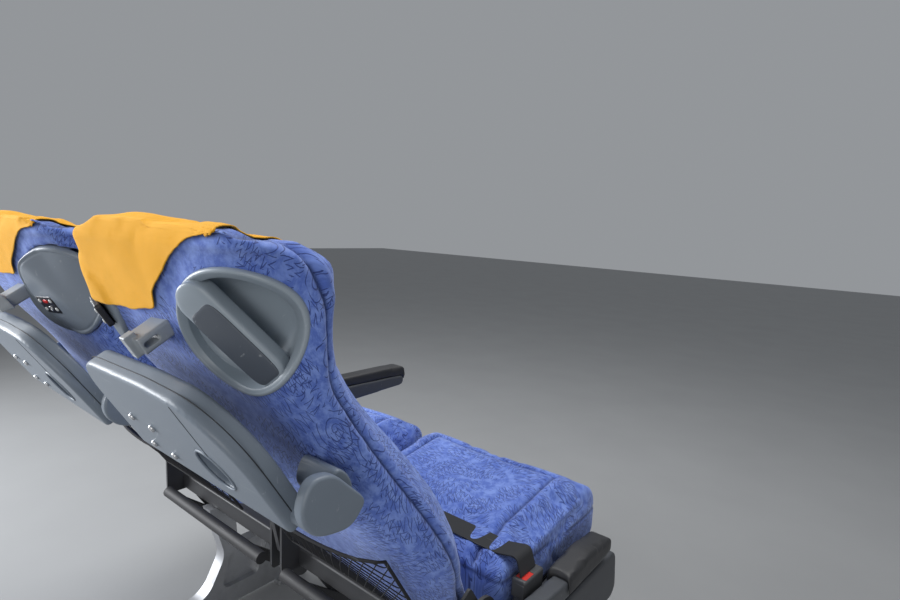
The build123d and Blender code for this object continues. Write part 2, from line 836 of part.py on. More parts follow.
def recliner_plates():
    # Name, the face that turns to its seat, the way to its own other face, and its seats' sides
    table = {
        "recliner_plate_aisle": [(OUTER_PLATE_X, 1)],
        "recliner_plate_wall": [(-OUTER_PLATE_X, -1)],
        "recliner_plates_centre": [(INNER_PLATE_X + PLATE_T, -1), (-INNER_PLATE_X - PLATE_T, 1)],
    }
    for name, plates in table.items():
        with BuildPart() as part:
            for face_x, away in plates:
                with BuildSketch(Plane.YZ.offset(face_x)):
                    profile(PLATE_OUTLINE)
                    for y in (REAR_BEAM_Y, FRONT_BEAM_Y):
                        with Locations((y, BEAM_Z)):
                            RectangleRounded(BEAM_SIZE, BEAM_SIZE, 5, mode=Mode.SUBTRACT)
                extrude(amount=away * PLATE_T)
                with BuildSketch(Plane.YZ.offset(face_x)):
                    with Locations((HINGE_Y, HINGE_Z)):
                        Circle(HINGE_PIN_R)
                extrude(amount=-away * 10)
        save(part, name)


def side_cover(name, side):
    """Moulded cover outside a recliner plate, open to the inside, with a sunk end for the buckle."""
    outline = [
        (HINGE_Y + 74, 262, 10),
        (HINGE_Y + 74, 369, 10),
        (395, 364, 24),
        (412, 262, 24),
    ]
    inside = [
        (HINGE_Y + 74 + COVER_WALL, 262 + COVER_WALL, 6),
        (HINGE_Y + 74 + COVER_WALL, 369 - COVER_WALL, 6),
        (395 - COVER_WALL, 364 - COVER_WALL, 20),
        (412 - COVER_WALL, 262 + COVER_WALL, 20),
    ]
    near = side * COVER_IN
    depth = COVER_OUT - COVER_IN if side > 0 else ARM_OUT - COVER_IN
    with BuildPart() as part:
        with BuildSketch(Plane.YZ.offset(near)):
            profile(outline)
        extrude(amount=side * depth)
        outer_face = part.faces().sort_by(Axis.X)[-1 if side > 0 else 0]
        fillet(outer_face.edges(), 5)
        with BuildSketch(Plane.YZ.offset(near)):
            profile(inside)
        extrude(amount=side * (depth - COVER_WALL), mode=Mode.SUBTRACT)
        # Tower that holds the belt buckle between the cushion and the armrest
        with BuildSketch(Plane.XY.offset(365)):
            with Locations((side * BUCKLE_X, BUCKLE_Y)):
                RectangleRounded(24, 56, 4)
        extrude(amount=33)
    save(part, name)


def belt_pieces(seat):
    """Buckle on the seat's outer side; webbing from the inner anchor over the cushion to its tongue."""
    side = OUTER[seat]
    middle = SEAT_X[seat]
    with BuildPart() as buckle:
        with BuildSketch(Plane.XY.offset(398)):
            with Locations((side * BUCKLE_X, BUCKLE_Y)):
                RectangleRounded(28, 62, 5)
        extrude(amount=BUCKLE_TOP - 398)
        fillet(buckle.faces().sort_by(Axis.Z)[-1].edges(), 4)
        with BuildSketch(Plane.XY.offset(432)):
            with Locations((side * BUCKLE_X, BUCKLE_Y - 10)):
                Rectangle(20, 26)
        extrude(amount=-8, mode=Mode.SUBTRACT)
    save(buckle, f"belt_buckle_{seat}")

    # The strap's path in the plane across the seat: (x from the seat's middle, z)
    inner_end = -side * (SEAT_PITCH / 2 - INNER_PLATE_X + 1.5)
    path = [
        (inner_end, RETRACTOR_TOP + STRAP_HALF_T),
        (inner_end, 443.5),
        (-side * 215, 451.5),
        (side * 190, 451.5),
        (side * 232, 462),
        (side * 243, BUCKLE_TOP + STRAP_HALF_T),
    ]
    with BuildPart() as webbing:
        with BuildSketch(Plane.XZ.offset(-118)):
            with BuildLine():
                route = FilletPolyline(
                    *[(middle + x, z) for x, z in path],
                    radius=[16, 30, 30, 10],
                )
                offset(route, amount=STRAP_HALF_T, side=Side.BOTH)
            make_face()
        extrude(amount=23, both=True)
    save(webbing, f"belt_webbing_{seat}")


def buckle_buttons():
    with BuildPart() as part:
        for side in (-1, 1):
            with BuildSketch(Plane.XY.offset(424)):
                with Locations((side * BUCKLE_X, BUCKLE_Y - 10)):
                    Rectangle(19.4, 25.4)
            extrude(amount=5)
    save(part, "buckle_buttons")


def belt_retractors():
    with BuildPart() as part:
        for side in (-1, 1):
            with BuildSketch(Plane.XZ.offset(-88)):
                with Locations((side * 18, RETRACTOR_TOP - 21)):
                    RectangleRounded(32, 42, 6)
            extrude(amount=-60)
    save(part, "belt_retractors")


def armrests():
    with BuildPart() as post:
        with BuildSketch(Plane.YZ):
            profile([
                (-30, 325, 0),
                (CENTRE_ARM_Y - 22, 560, 60),
                (CENTRE_ARM_Y - 22, CENTRE_ARM_Z + 22, 20),
                (CENTRE_ARM_Y + 22, CENTRE_ARM_Z + 22, 20),
                (CENTRE_ARM_Y + 22, 570, 60),
                (44, 325, 0),
            ])
        extrude(amount=POST_HALF, both=True)
        with BuildSketch(Plane.YZ):
            with Locations((CENTRE_ARM_Y, CENTRE_ARM_Z)):
                Circle(7)
        extrude(amount=CENTRE_ARM_HALF - 4, both=True)
    save(post, "centre_arm_post")

    with BuildPart() as arm:
        with BuildSketch(Plane.YZ):
            profile([
                (CENTRE_ARM_Y - 24, CENTRE_ARM_Z - 24, 20),
                (CENTRE_ARM_Y - 24, CENTRE_ARM_Z + 20, 20),
                (CENTRE_ARM_TIP, CENTRE_ARM_Z + 8, 10),
                (CENTRE_ARM_TIP, CENTRE_ARM_Z - 14, 10),
                (30, CENTRE_ARM_Z - 24, 80),
            ])
        extrude(amount=CENTRE_ARM_HALF, both=True)
        # Fork over the post, with bores on its pin
        with BuildSketch(Plane.YZ):
            with Locations((CENTRE_ARM_Y - 6, CENTRE_ARM_Z)):
                Rectangle(90, 80)
        extrude(amount=POST_HALF + 1.5, both=True, mode=Mode.SUBTRACT)
        with BuildSketch(Plane.YZ):
            with Locations((CENTRE_ARM_Y, CENTRE_ARM_Z)):
                Circle(7.3)
        extrude(amount=CENTRE_ARM_HALF - 3, both=True, mode=Mode.SUBTRACT)
    save(arm, "centre_armrest")

    with BuildPart() as pad:
        with BuildSketch(Plane.YZ):
            profile([
                (CENTRE_ARM_Y + 46, CENTRE_ARM_Z + 18.8, 0),
                (CENTRE_ARM_Y + 46, CENTRE_ARM_Z + 36, 10),
                (CENTRE_ARM_TIP + 6, CENTRE_ARM_Z + 30, 14),
                (CENTRE_ARM_TIP + 6, CENTRE_ARM_Z - 2, 6),
                (CENTRE_ARM_TIP - 8, CENTRE_ARM_Z - 2, 0),
            ])
        extrude(amount=CENTRE_ARM_HALF, both=True)
        add(arm.part, mode=Mode.SUBTRACT)
    biggest = pad.part.solids().sort_by(SortBy.VOLUME)[-1]
    with BuildPart() as pad_piece:
        add(biggest)
    save(pad_piece, "centre_armrest_pad")

    with BuildPart() as aisle:
        with BuildSketch(Plane.YZ.offset(508)):
            profile([
                (AISLE_ARM_Y - 22, AISLE_ARM_Z - 22, 20),
                (AISLE_ARM_Y - 22, AISLE_ARM_Z + 22, 20),
                (AISLE_ARM_Y + 30, AISLE_ARM_Z + 20, 60),
                (AISLE_ARM_TIP - 6, AISLE_ARM_Z - 4, 8),
                (AISLE_ARM_TIP - 6, AISLE_ARM_Z - 22, 8),
            ])
        extrude(amount=30)
        with BuildSketch(Plane.YZ.offset(505)):
            with Locations((AISLE_ARM_Y, AISLE_ARM_Z)):
                Circle(8.3)
        extrude(amount=24, mode=Mode.SUBTRACT)
    save(aisle, "aisle_armrest")

    with BuildPart() as aisle_pad:
        with BuildSketch(Plane.YZ.offset(498)):
            profile([
                (166, AISLE_ARM_Z - 16, 4),
                (166, AISLE_ARM_Z + 18, 12),
                (260, AISLE_ARM_Z + 26, 160),
                (AISLE_ARM_TIP, AISLE_ARM_Z + 14, 16),
                (AISLE_ARM_TIP, AISLE_ARM_Z - 16, 10),
            ])
        extrude(amount=ARM_OUT - 498)
        add(aisle.part, mode=Mode.SUBTRACT)
    save(aisle_pad, "aisle_armrest_pad")

    with BuildPart() as hub:
        with BuildSketch(Plane.YZ.offset(OUTER_PLATE_X + PLATE_T)):
            with Locations((HINGE_Y, AISLE_ARM_Z)):
                Circle(30)
        extrude(amount=508 - 5 - OUTER_PLATE_X - PLATE_T)
        with BuildSketch(Plane.YZ.offset(503)):
            with Locations((HINGE_Y, AISLE_ARM_Z)):
                Circle(8)
        extrude(amount=24)
    save(hub, "aisle_arm_hub")


def footrests():
    with BuildPart() as hangers:
        for middle in SEAT_X.values():
            for side in (-1, 1):
                with BuildSketch(Plane.YZ.offset(middle + side * (FOOTREST_ARM_X + 10))):
                    profile([
                        (REAR_BEAM_Y - 18, 285, 0),
                        (REAR_BEAM_Y + 20, 285, 0),
                        (FOOTREST_PIVOT_Y + 16, FOOTREST_PIVOT_Z + 8, 14),
                        (FOOTREST_PIVOT_Y + 8, FOOTREST_PIVOT_Z - 18, 14),
                        (FOOTREST_PIVOT_Y - 18, FOOTREST_PIVOT_Z - 8, 14),
                    ])
                extrude(amount=side * 5)
                with BuildSketch(Plane.YZ.offset(middle + side * (FOOTREST_ARM_X + 10))):
                    with Locations((FOOTREST_PIVOT_Y, FOOTREST_PIVOT_Z)):
                        Circle(5)
                extrude(amount=-side * 20)
    save(hangers, "footrest_hangers")

    for seat, middle in SEAT_X.items():
        with BuildPart() as rest:
            with BuildSketch(Plane.YZ.offset(middle - FOOTREST_BAR_HALF)):
                with Locations((FOOTREST_BAR_Y, FOOTREST_BAR_Z)):
                    Circle(FOOTREST_BAR_R)
            extrude(amount=2 * FOOTREST_BAR_HALF)
            for side in (-1, 1):
                with BuildSketch(Plane.YZ.offset(middle + side * (FOOTREST_ARM_X - 4))):
                    profile([
                        (FOOTREST_PIVOT_Y + 12, FOOTREST_PIVOT_Z + 4, 8),
                        (FOOTREST_PIVOT_Y - 2, FOOTREST_PIVOT_Z - 13, 8),
                        (FOOTREST_BAR_Y - 6, FOOTREST_BAR_Z - 9, 3),
                        (FOOTREST_BAR_Y + 5, FOOTREST_BAR_Z + 9, 3),
                    ])
                    with Locations((FOOTREST_PIVOT_Y, FOOTREST_PIVOT_Z)):
                        Circle(5.3, mode=Mode.SUBTRACT)
                extrude(amount=side * 8)
        save(rest, f"footrest_{seat}")


os.makedirs("parts", exist_ok=True)
for seat_name in ("aisle", "window"):
    build_back(seat_name)
    build_cushion(seat_name)
    belt_pieces(seat_name)
beam("front_beam", FRONT_BEAM_Y)
beam("rear_beam", REAR_BEAM_Y)
leg("aisle_leg", LEG_X)
leg("wall_leg", -LEG_X)
floor_clamps()
recliner_plates()
side_cover("aisle_side_cover", 1)
side_cover("wall_side_cover", -1)
buckle_buttons()
belt_retractors()
armrests()
footrests()
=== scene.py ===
# %% [markdown]
# A double seat, one place at the aisle and one at the wall, dressed around its measured frame.
# The frame gives every hard part its size and place. Here each part gets its real surface: blue
# cloth with scribbles, yellow head covers, moulded grey plastic, cord nets and belts.

# %% Load the frame
import json
import math

import bmesh
import bpy
import numpy as np
from mathutils import Matrix, Vector


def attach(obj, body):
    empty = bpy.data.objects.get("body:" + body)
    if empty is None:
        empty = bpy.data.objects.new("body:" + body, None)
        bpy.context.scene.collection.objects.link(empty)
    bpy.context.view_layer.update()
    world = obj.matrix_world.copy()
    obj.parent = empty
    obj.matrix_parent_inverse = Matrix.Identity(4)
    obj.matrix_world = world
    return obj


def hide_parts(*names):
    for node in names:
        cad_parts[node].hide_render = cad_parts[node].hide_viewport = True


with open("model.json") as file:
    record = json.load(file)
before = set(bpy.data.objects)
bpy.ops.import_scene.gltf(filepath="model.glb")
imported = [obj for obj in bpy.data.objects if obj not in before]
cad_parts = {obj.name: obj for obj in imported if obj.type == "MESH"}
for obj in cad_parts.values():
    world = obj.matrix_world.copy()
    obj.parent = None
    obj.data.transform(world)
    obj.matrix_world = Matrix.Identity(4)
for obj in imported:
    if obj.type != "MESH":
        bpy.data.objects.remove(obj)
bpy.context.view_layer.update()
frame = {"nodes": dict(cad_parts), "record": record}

# %% [markdown]
# The camera stands behind the right-hand seat, low and turned to the left, with a wide lens.
# Its place was found by fitting the edges of the seat, so it is written as a place, three angles
# and a focal length, and its axes are worked out from them.

# %% Camera
CAMERA_PLACE = Vector((0.9007, -0.6515, 0.9989))
CAMERA_YAW = math.radians(38.31)
CAMERA_PITCH = math.radians(7.75)
CAMERA_ROLL = math.radians(2.88)
CAMERA_LENS = 22.18


def camera_axes(yaw, pitch, roll):
    """Right, up and forward of a camera turned left by yaw, down by pitch, then rolled."""
    right = Vector((math.cos(yaw), math.sin(yaw), 0))
    level = math.cos(pitch)
    ahead = Vector((-math.sin(yaw) * level, math.cos(yaw) * level, -math.sin(pitch)))
    up = right.cross(ahead)
    return (
        right * math.cos(roll) + up * math.sin(roll),
        up * math.cos(roll) - right * math.sin(roll),
        ahead,
    )


camera = bpy.data.objects.new("camera", bpy.data.cameras.new("camera"))
camera.data.lens = CAMERA_LENS
camera.data.sensor_width = 36
camera.data.clip_start = 0.01
camera_right, camera_up, camera_ahead = camera_axes(CAMERA_YAW, CAMERA_PITCH, CAMERA_ROLL)
camera.matrix_world = Matrix.Translation(CAMERA_PLACE) @ Matrix(
    (camera_right, camera_up, -camera_ahead)
).transposed().to_4x4()
bpy.context.scene.collection.objects.link(camera)
bpy.context.scene.camera = camera

# %% [markdown]
# Daylight falls in from the left, and everything around the seat gives it back softly. One large
# area light is the daylight, and two weaker ones come from above and from behind.

# %% Lights and world
ROOM_COLOUR, ROOM_STRENGTH = (0.86, 0.90, 0.95, 1), 0.34
LIGHTS = [
    # name, place, target, size, power, colour
    ("windows", (-2.3, -1.7, 1.35), (0.0, -0.3, 0.8), 1.5, 112, (0.95, 0.97, 1.0)),
    ("rear_fill", (1.6, -2.4, 1.1), (0.2, -0.3, 0.7), 1.6, 20, (1.0, 0.98, 0.95)),
    ("ceiling", (0.2, 0.6, 2.8), (0.0, 0.0, 0.5), 1.8, 46, (1.0, 1.0, 1.0)),
]
for light_name, place, target, size, power, colour in LIGHTS:
    lamp = bpy.data.objects.new(light_name, bpy.data.lights.new(light_name, "AREA"))
    lamp.data.size = size
    lamp.data.energy = power
    lamp.data.color = colour
    lamp.location = place
    lamp.rotation_euler = (Vector(target) - Vector(place)).to_track_quat("-Z", "Y").to_euler()
    bpy.context.scene.collection.objects.link(lamp)

world = bpy.data.worlds.new("room")
world.use_nodes = True
background = world.node_tree.nodes["Background"].inputs
background["Color"].default_value = ROOM_COLOUR
background["Strength"].default_value = ROOM_STRENGTH
bpy.context.scene.world = world
bpy.context.scene.view_settings.view_transform = "Standard"

# %% [markdown]
# Every material here is a small tree of shader nodes. These two helpers keep the trees short: one
# puts a node in with its settings and its inputs, the other makes a node group with named sockets.

# %% Node helpers


def put(tree, kind, inputs=None, **settings):
    """A node of that kind. Inputs are plain values or other nodes' sockets, named or numbered."""
    node = tree.nodes.new(kind)
    for name, value in settings.items():
        setattr(node, name, value)
    for name, value in (inputs or {}).items():
        socket = node.inputs[name]
        if isinstance(value, bpy.types.NodeSocket):
            tree.links.new(value, socket)
        else:
            socket.default_value = value
    return node


def maths(tree, operation, *values, clamp=False):
    """Result socket of one Math node."""
    inputs = dict(enumerate(values))
    return put(tree, "ShaderNodeMath", inputs, operation=operation, use_clamp=clamp).outputs[0]


def vector_maths(tree, operation, inputs, output=0):
    return put(tree, "ShaderNodeVectorMath", inputs, operation=operation).outputs[output]


def times(tree, first, second, **settings):
    return maths(tree, "MULTIPLY", first, second, **settings)


def plus(tree, first, second, **settings):
    return maths(tree, "ADD", first, second, **settings)


def span(tree, value, low, high, to_low=0.0, to_high=1.0):
    """Value carried smoothly from one range to another and held at its ends."""
    node = put(
        tree,
        "ShaderNodeMapRange",
        {"Value": value, "From Min": low, "From Max": high, "To Min": to_low, "To Max": to_high},
        interpolation_type="SMOOTHSTEP",
    )
    return node.outputs["Result"]


def mix_colour(tree, factor, first, second):
    node = put(tree, "ShaderNodeMix", data_type="RGBA")
    for index, value in ((0, factor), (6, first), (7, second)):
        if isinstance(value, bpy.types.NodeSocket):
            tree.links.new(value, node.inputs[index])
        else:
            node.inputs[index].default_value = value
    return node.outputs[2]


def noise(tree, vector, scale, detail=2.0, roughness=0.5, distortion=0.0):
    inputs = {"Vector": vector, "Scale": scale, "Detail": detail, "Roughness": roughness}
    node = put(tree, "ShaderNodeTexNoise", {**inputs, "Distortion": distortion})
    return node.outputs["Fac"]


def new_group(name, sockets_in, sockets_out):
    """Empty shader group with its sockets, its input node and its output node."""
    tree = bpy.data.node_groups.new(name, "ShaderNodeTree")
    for socket_name, kind, default in sockets_in:
        socket = tree.interface.new_socket(socket_name, in_out="INPUT", socket_type=kind)
        if default is not None:
            socket.default_value = default
    for socket_name, kind in sockets_out:
        tree.interface.new_socket(socket_name, in_out="OUTPUT", socket_type=kind)
    return tree, tree.nodes.new("NodeGroupInput").outputs, tree.nodes.new("NodeGroupOutput").inputs


def use_group(tree, group, inputs):
    node = tree.nodes.new("ShaderNodeGroup")
    node.node_tree = group
    for name, value in inputs.items():
        if isinstance(value, bpy.types.NodeSocket):
            tree.links.new(value, node.inputs[name])
        else:
            node.inputs[name].default_value = value
    return node.outputs


FLOAT, COLOUR, VECTOR = "NodeSocketFloat", "NodeSocketColor", "NodeSocketVector"

# %% [markdown]
# Moulded plastic is never flat: it has a fine pebble grain, a slow change of tone where it has been
# rubbed smooth, and small light scratches. One group gives all three, and each plastic places it
# with its own values.

# %% Group: moulded plastic
moulded, moulded_in, moulded_out = new_group(
    "moulded_plastic",
    [
        ("Colour", COLOUR, (0.3, 0.3, 0.3, 1)),
        ("Tone", FLOAT, 0.12),
        ("Grain", FLOAT, 900.0),
        ("Scratches", FLOAT, 0.3),
        ("Roughness", FLOAT, 0.45),
    ],
    [("Colour", COLOUR), ("Roughness", FLOAT), ("Height", FLOAT)],
)
place = put(moulded, "ShaderNodeTexCoord").outputs["Object"]
clouds = noise(moulded, place, 7.0, 4.0, 0.6)
tone = times(moulded, maths(moulded, "SUBTRACT", clouds, 0.5), moulded_in["Tone"])
grain = noise(moulded, place, moulded_in["Grain"], 1.0, 0.4)
stretched = put(
    moulded,
    "ShaderNodeMapping",
    {"Vector": place, "Rotation": (0.4, 0.7, 0.3), "Scale": (12, 260, 60)},
)
scratch_lines = noise(moulded, stretched.outputs[0], 1.0, 2.0, 0.7, 0.6)
scratches = times(moulded, span(moulded, scratch_lines, 0.66, 0.74), moulded_in["Scratches"])
brightness = plus(moulded, times(moulded, tone, 2.0), 1.0)
brighter = put(
    moulded, "ShaderNodeHueSaturation", {"Color": moulded_in["Colour"], "Value": brightness}
)
scratch_share = times(moulded, scratches, 0.35)
lit = mix_colour(moulded, scratch_share, brighter.outputs[0], (0.8, 0.82, 0.84, 1))
moulded.links.new(lit, moulded_out["Colour"])
rough = plus(moulded, moulded_in["Roughness"], times(moulded, tone, 1.2))
moulded.links.new(plus(moulded, rough, times(moulded, scratches, 0.15)), moulded_out["Roughness"])
height = maths(moulded, "SUBTRACT", grain, times(moulded, scratches, 0.6))
moulded.links.new(height, moulded_out["Height"])


PLASTIC_BUMP, METAL_BUMP = 0.25, 0.2


def new_material(name):
    material = bpy.data.materials.new(name)
    material.use_nodes = True
    shader = material.node_tree.nodes["Principled BSDF"]
    return material, material.node_tree, shader


def feed(tree, shader, outputs, bump, distance=0.0004):
    """Group outputs into the shader: colour, roughness and a bump from the height."""
    tree.links.new(outputs["Colour"], shader.inputs["Base Color"])
    tree.links.new(outputs["Roughness"], shader.inputs["Roughness"])
    values = {"Height": outputs["Height"], "Strength": bump, "Distance": distance}
    relief = put(tree, "ShaderNodeBump", values)
    tree.links.new(relief.outputs[0], shader.inputs["Normal"])


def plastic(name, colour, roughness=0.45, tone=0.12, grain=900.0, scratches=0.3):
    material, tree, shader = new_material(name)
    values = {"Colour": (*colour, 1), "Roughness": roughness}
    values.update({"Tone": tone, "Grain": grain, "Scratches": scratches})
    feed(tree, shader, use_group(tree, moulded, values), PLASTIC_BUMP)
    return material


# %% [markdown]
# Metal differs from plastic in its reflections. The legs are cast and brushed aluminium, the frame
# is painted steel, and both show a stretched grain along the way they were worked.

# %% Group: worked metal
worked, worked_in, worked_out = new_group(
    "worked_metal",
    [
        ("Colour", COLOUR, (0.6, 0.6, 0.6, 1)),
        ("Stretch", VECTOR, (1, 1, 1)),
        ("Roughness", FLOAT, 0.35),
        ("Dirt", FLOAT, 0.3),
    ],
    [("Colour", COLOUR), ("Roughness", FLOAT), ("Height", FLOAT)],
)
place = put(worked, "ShaderNodeTexCoord").outputs["Object"]
drawn = vector_maths(worked, "MULTIPLY", {0: place, 1: worked_in["Stretch"]})
brushed = noise(worked, drawn, 60.0, 3.0, 0.6)
patches = span(worked, noise(worked, place, 9.0, 4.0, 0.65), 0.42, 0.7)
dirt = times(worked, patches, worked_in["Dirt"])
dirtied = mix_colour(worked, dirt, worked_in["Colour"], (0.08, 0.075, 0.07, 1))
worked.links.new(dirtied, worked_out["Colour"])
rougher = plus(worked, times(worked, dirt, 0.4), times(worked, brushed, 0.12))
worked.links.new(plus(worked, worked_in["Roughness"], rougher), worked_out["Roughness"])
worked.links.new(brushed, worked_out["Height"])


def metal(name, colour, roughness, metallic=1.0, stretch=(1, 1, 1), dirt=0.3):
    material, tree, shader = new_material(name)
    values = {"Colour": (*colour, 1), "Stretch": stretch, "Roughness": roughness, "Dirt": dirt}
    feed(tree, shader, use_group(tree, worked, values), METAL_BUMP, 0.0003)
    shader.inputs["Metallic"].default_value = metallic
    return material


# %% [markdown]
# The seat cloth is a printed flat-woven velour: mid and light blue clouds, and over them groups of
# thin navy scribbles, some zigzag and some coiled, each group in its own direction. A Voronoi
# texture gives every group a middle and a random number. The point's place from that middle is
# turned by the random number, and lines are drawn in those turned coordinates.

# %% Group: scribbled cloth
cloth, cloth_in, cloth_out = new_group(
    "scribbled_cloth",
    [
        ("Vector", VECTOR, None),
        ("Light", COLOUR, (0.30, 0.42, 0.78, 1)),
        ("Middle", COLOUR, (0.11, 0.22, 0.60, 1)),
        ("Ink", COLOUR, (0.015, 0.03, 0.16, 1)),
        ("Groups", FLOAT, 12.5),
        ("Line", FLOAT, 0.0011),
    ],
    [("Colour", COLOUR), ("Roughness", FLOAT), ("Height", FLOAT)],
)


SHAKES = ((30.0, 0.014), (110.0, 0.0012))  # scale and amount of each noise
FULL_TURN = 6.28
COIL_OPENS, COIL_GAP = 0.0013, 0.0052
ZIGZAG_SHARE, EMPTY_SHARE = 0.8, 0.12
PATCH_STRETCH, PATCH_REACH = (0.62, 1.15, 0.0), 0.016


def scribble(tree, vector, groups, line, shift, period, slope, gap):
    """Mask of drawn lines: in each Voronoi cell, a zigzag or a coil about the cell's own middle."""
    moved = vector_maths(tree, "ADD", {0: vector, 1: shift})
    cells = put(
        tree,
        "ShaderNodeTexVoronoi",
        {"Vector": moved, "Scale": groups, "Randomness": 0.7},
        voronoi_dimensions="2D",
        feature="F1",
    )
    chance = put(tree, "ShaderNodeSeparateColor", {"Color": cells.outputs["Color"]}).outputs
    away = vector_maths(tree, "SUBTRACT", {0: moved, 1: cells.outputs["Position"]})
    # The hand shakes: the place is pushed about by a coarse and a fine noise
    shaken = away
    for scale, amount in SHAKES:
        wobble = put(
            tree,
            "ShaderNodeTexNoise",
            {"Vector": moved, "Scale": scale, "Detail": 1.0},
            noise_dimensions="2D",
        )
        push = vector_maths(tree, "SUBTRACT", {0: wobble.outputs["Color"], 1: (0.5, 0.5, 0.5)})
        small = vector_maths(tree, "SCALE", {0: push, "Scale": amount})
        shaken = vector_maths(tree, "ADD", {0: shaken, 1: small})
    turn = times(tree, chance["Red"], FULL_TURN)
    rotated = put(
        tree, "ShaderNodeVectorRotate", {"Vector": shaken, "Angle": turn}, rotation_type="Z_AXIS"
    )
    turned = rotated.outputs[0]
    local = put(tree, "ShaderNodeSeparateXYZ", {"Vector": turned}).outputs
    # Zigzag: height of a triangle wave along the local x, at several offsets across
    wave = maths(tree, "PINGPONG", local["X"], period)
    across = maths(tree, "SUBTRACT", local["Y"], times(tree, wave, slope))
    half_line = times(tree, line, 0.5 * math.hypot(1, slope))
    zigzag = maths(tree, "LESS_THAN", maths(tree, "PINGPONG", across, gap), half_line)
    # Coil: rings that open slowly with the angle round the middle
    radius = vector_maths(tree, "LENGTH", {0: turned}, "Value")
    angle = maths(tree, "ARCTAN2", local["Y"], local["X"])
    opened = plus(tree, radius, times(tree, angle, COIL_OPENS))
    off_ring = maths(tree, "PINGPONG", opened, COIL_GAP)
    coil = maths(tree, "LESS_THAN", off_ring, times(tree, line, 0.6))
    kind = maths(tree, "GREATER_THAN", chance["Green"], ZIGZAG_SHARE)
    straight = times(tree, zigzag, maths(tree, "SUBTRACT", 1.0, kind))
    drawn_lines = plus(tree, times(tree, coil, kind), straight, clamp=True)
    # The group is a long patch about its middle, and some cells stay empty
    stretched_patch = vector_maths(tree, "MULTIPLY", {0: turned, 1: PATCH_STRETCH})
    patch_radius = vector_maths(tree, "LENGTH", {0: stretched_patch}, "Value")
    reach = plus(tree, PATCH_REACH, times(tree, chance["Blue"], PATCH_REACH))
    patch = maths(tree, "LESS_THAN", patch_radius, reach)
    filled = maths(tree, "GREATER_THAN", chance["Blue"], EMPTY_SHARE)
    return times(tree, times(tree, drawn_lines, patch), filled)


LAYERS = [
    # shift, half period of the zigzag, slope, half gap between strokes
    ((0.0, 0.0, 0.0), 0.0046, 4.2, 0.0110),
    ((0.037, 0.061, 0.0), 0.0058, 3.4, 0.0140),
    ((0.083, 0.019, 0.0), 0.0062, 5.0, 0.0170),
]
cloth_place = cloth_in["Vector"]
ink = 0.0
for layer in LAYERS:
    drawn = scribble(cloth, cloth_place, cloth_in["Groups"], cloth_in["Line"], *layer)
    ink = plus(cloth, ink, drawn, clamp=True)
cloud_mask = span(cloth, noise(cloth, cloth_place, 62.0, 5.0, 0.68, 0.3), 0.36, 0.66)
wide_mask = span(cloth, noise(cloth, cloth_place, 7.0, 2.0, 0.5), 0.35, 0.7)
strength = plus(cloth, 0.72, times(cloth, wide_mask, 0.4))
blend_mask = times(cloth, cloud_mask, strength, clamp=True)
ground = mix_colour(cloth, blend_mask, cloth_in["Middle"], cloth_in["Light"])
printed = mix_colour(cloth, times(cloth, ink, 0.8), ground, cloth_in["Ink"])
threads = put(
    cloth,
    "ShaderNodeTexVoronoi",
    {"Vector": cloth_place, "Scale": 1100.0, "Randomness": 0.35},
    voronoi_dimensions="2D",
    feature="F1",
)
pile = noise(cloth, cloth_place, 260.0, 2.0, 0.6)
shade = plus(cloth, 0.86, times(cloth, pile, 0.28))
woven = put(cloth, "ShaderNodeHueSaturation", {"Color": printed, "Value": shade}).outputs[0]
cloth.links.new(woven, cloth_out["Colour"])
cloth.links.new(plus(cloth, 0.74, times(cloth, pile, 0.2)), cloth_out["Roughness"])
relief = plus(cloth, times(cloth, threads.outputs["Distance"], 0.5), times(cloth, pile, 0.7))
cloth.links.new(relief, cloth_out["Height"])


def seat_cloth(name, light, middle):
    material, tree, shader = new_material(name)
    flat_map = put(tree, "ShaderNodeUVMap", uv_map="cloth").outputs[0]
    values = {"Vector": flat_map, "Light": (*light, 1), "Middle": (*middle, 1)}
    feed(tree, shader, use_group(tree, cloth, values), 0.35, 0.0006)
    # Painted shade: the cloth is darker down in a sewn crease, where an attribute on the mesh says
    # so
    crease_shade = put(tree, "ShaderNodeAttribute", attribute_name="crease_shade").outputs["Fac"]
    printed_colour = shader.inputs["Base Color"].links[0].from_socket
    crease_shaded = mix_colour(tree, times(tree, crease_shade, 0.75), printed_colour, (0.012, 0.022, 0.09, 1))
    tree.links.new(crease_shaded, shader.inputs["Base Color"])
    shader.inputs["Sheen Weight"].default_value = 0.35
    shader.inputs["Sheen Roughness"].default_value = 0.5
    shader.inputs["Sheen Tint"].default_value = (0.75, 0.82, 1.0, 1)
    shader.inputs["Specular IOR Level"].default_value = 0.25
    return material


def paint(piece, material):
    piece.data.materials.clear()
    piece.data.materials.append(material)
    return piece


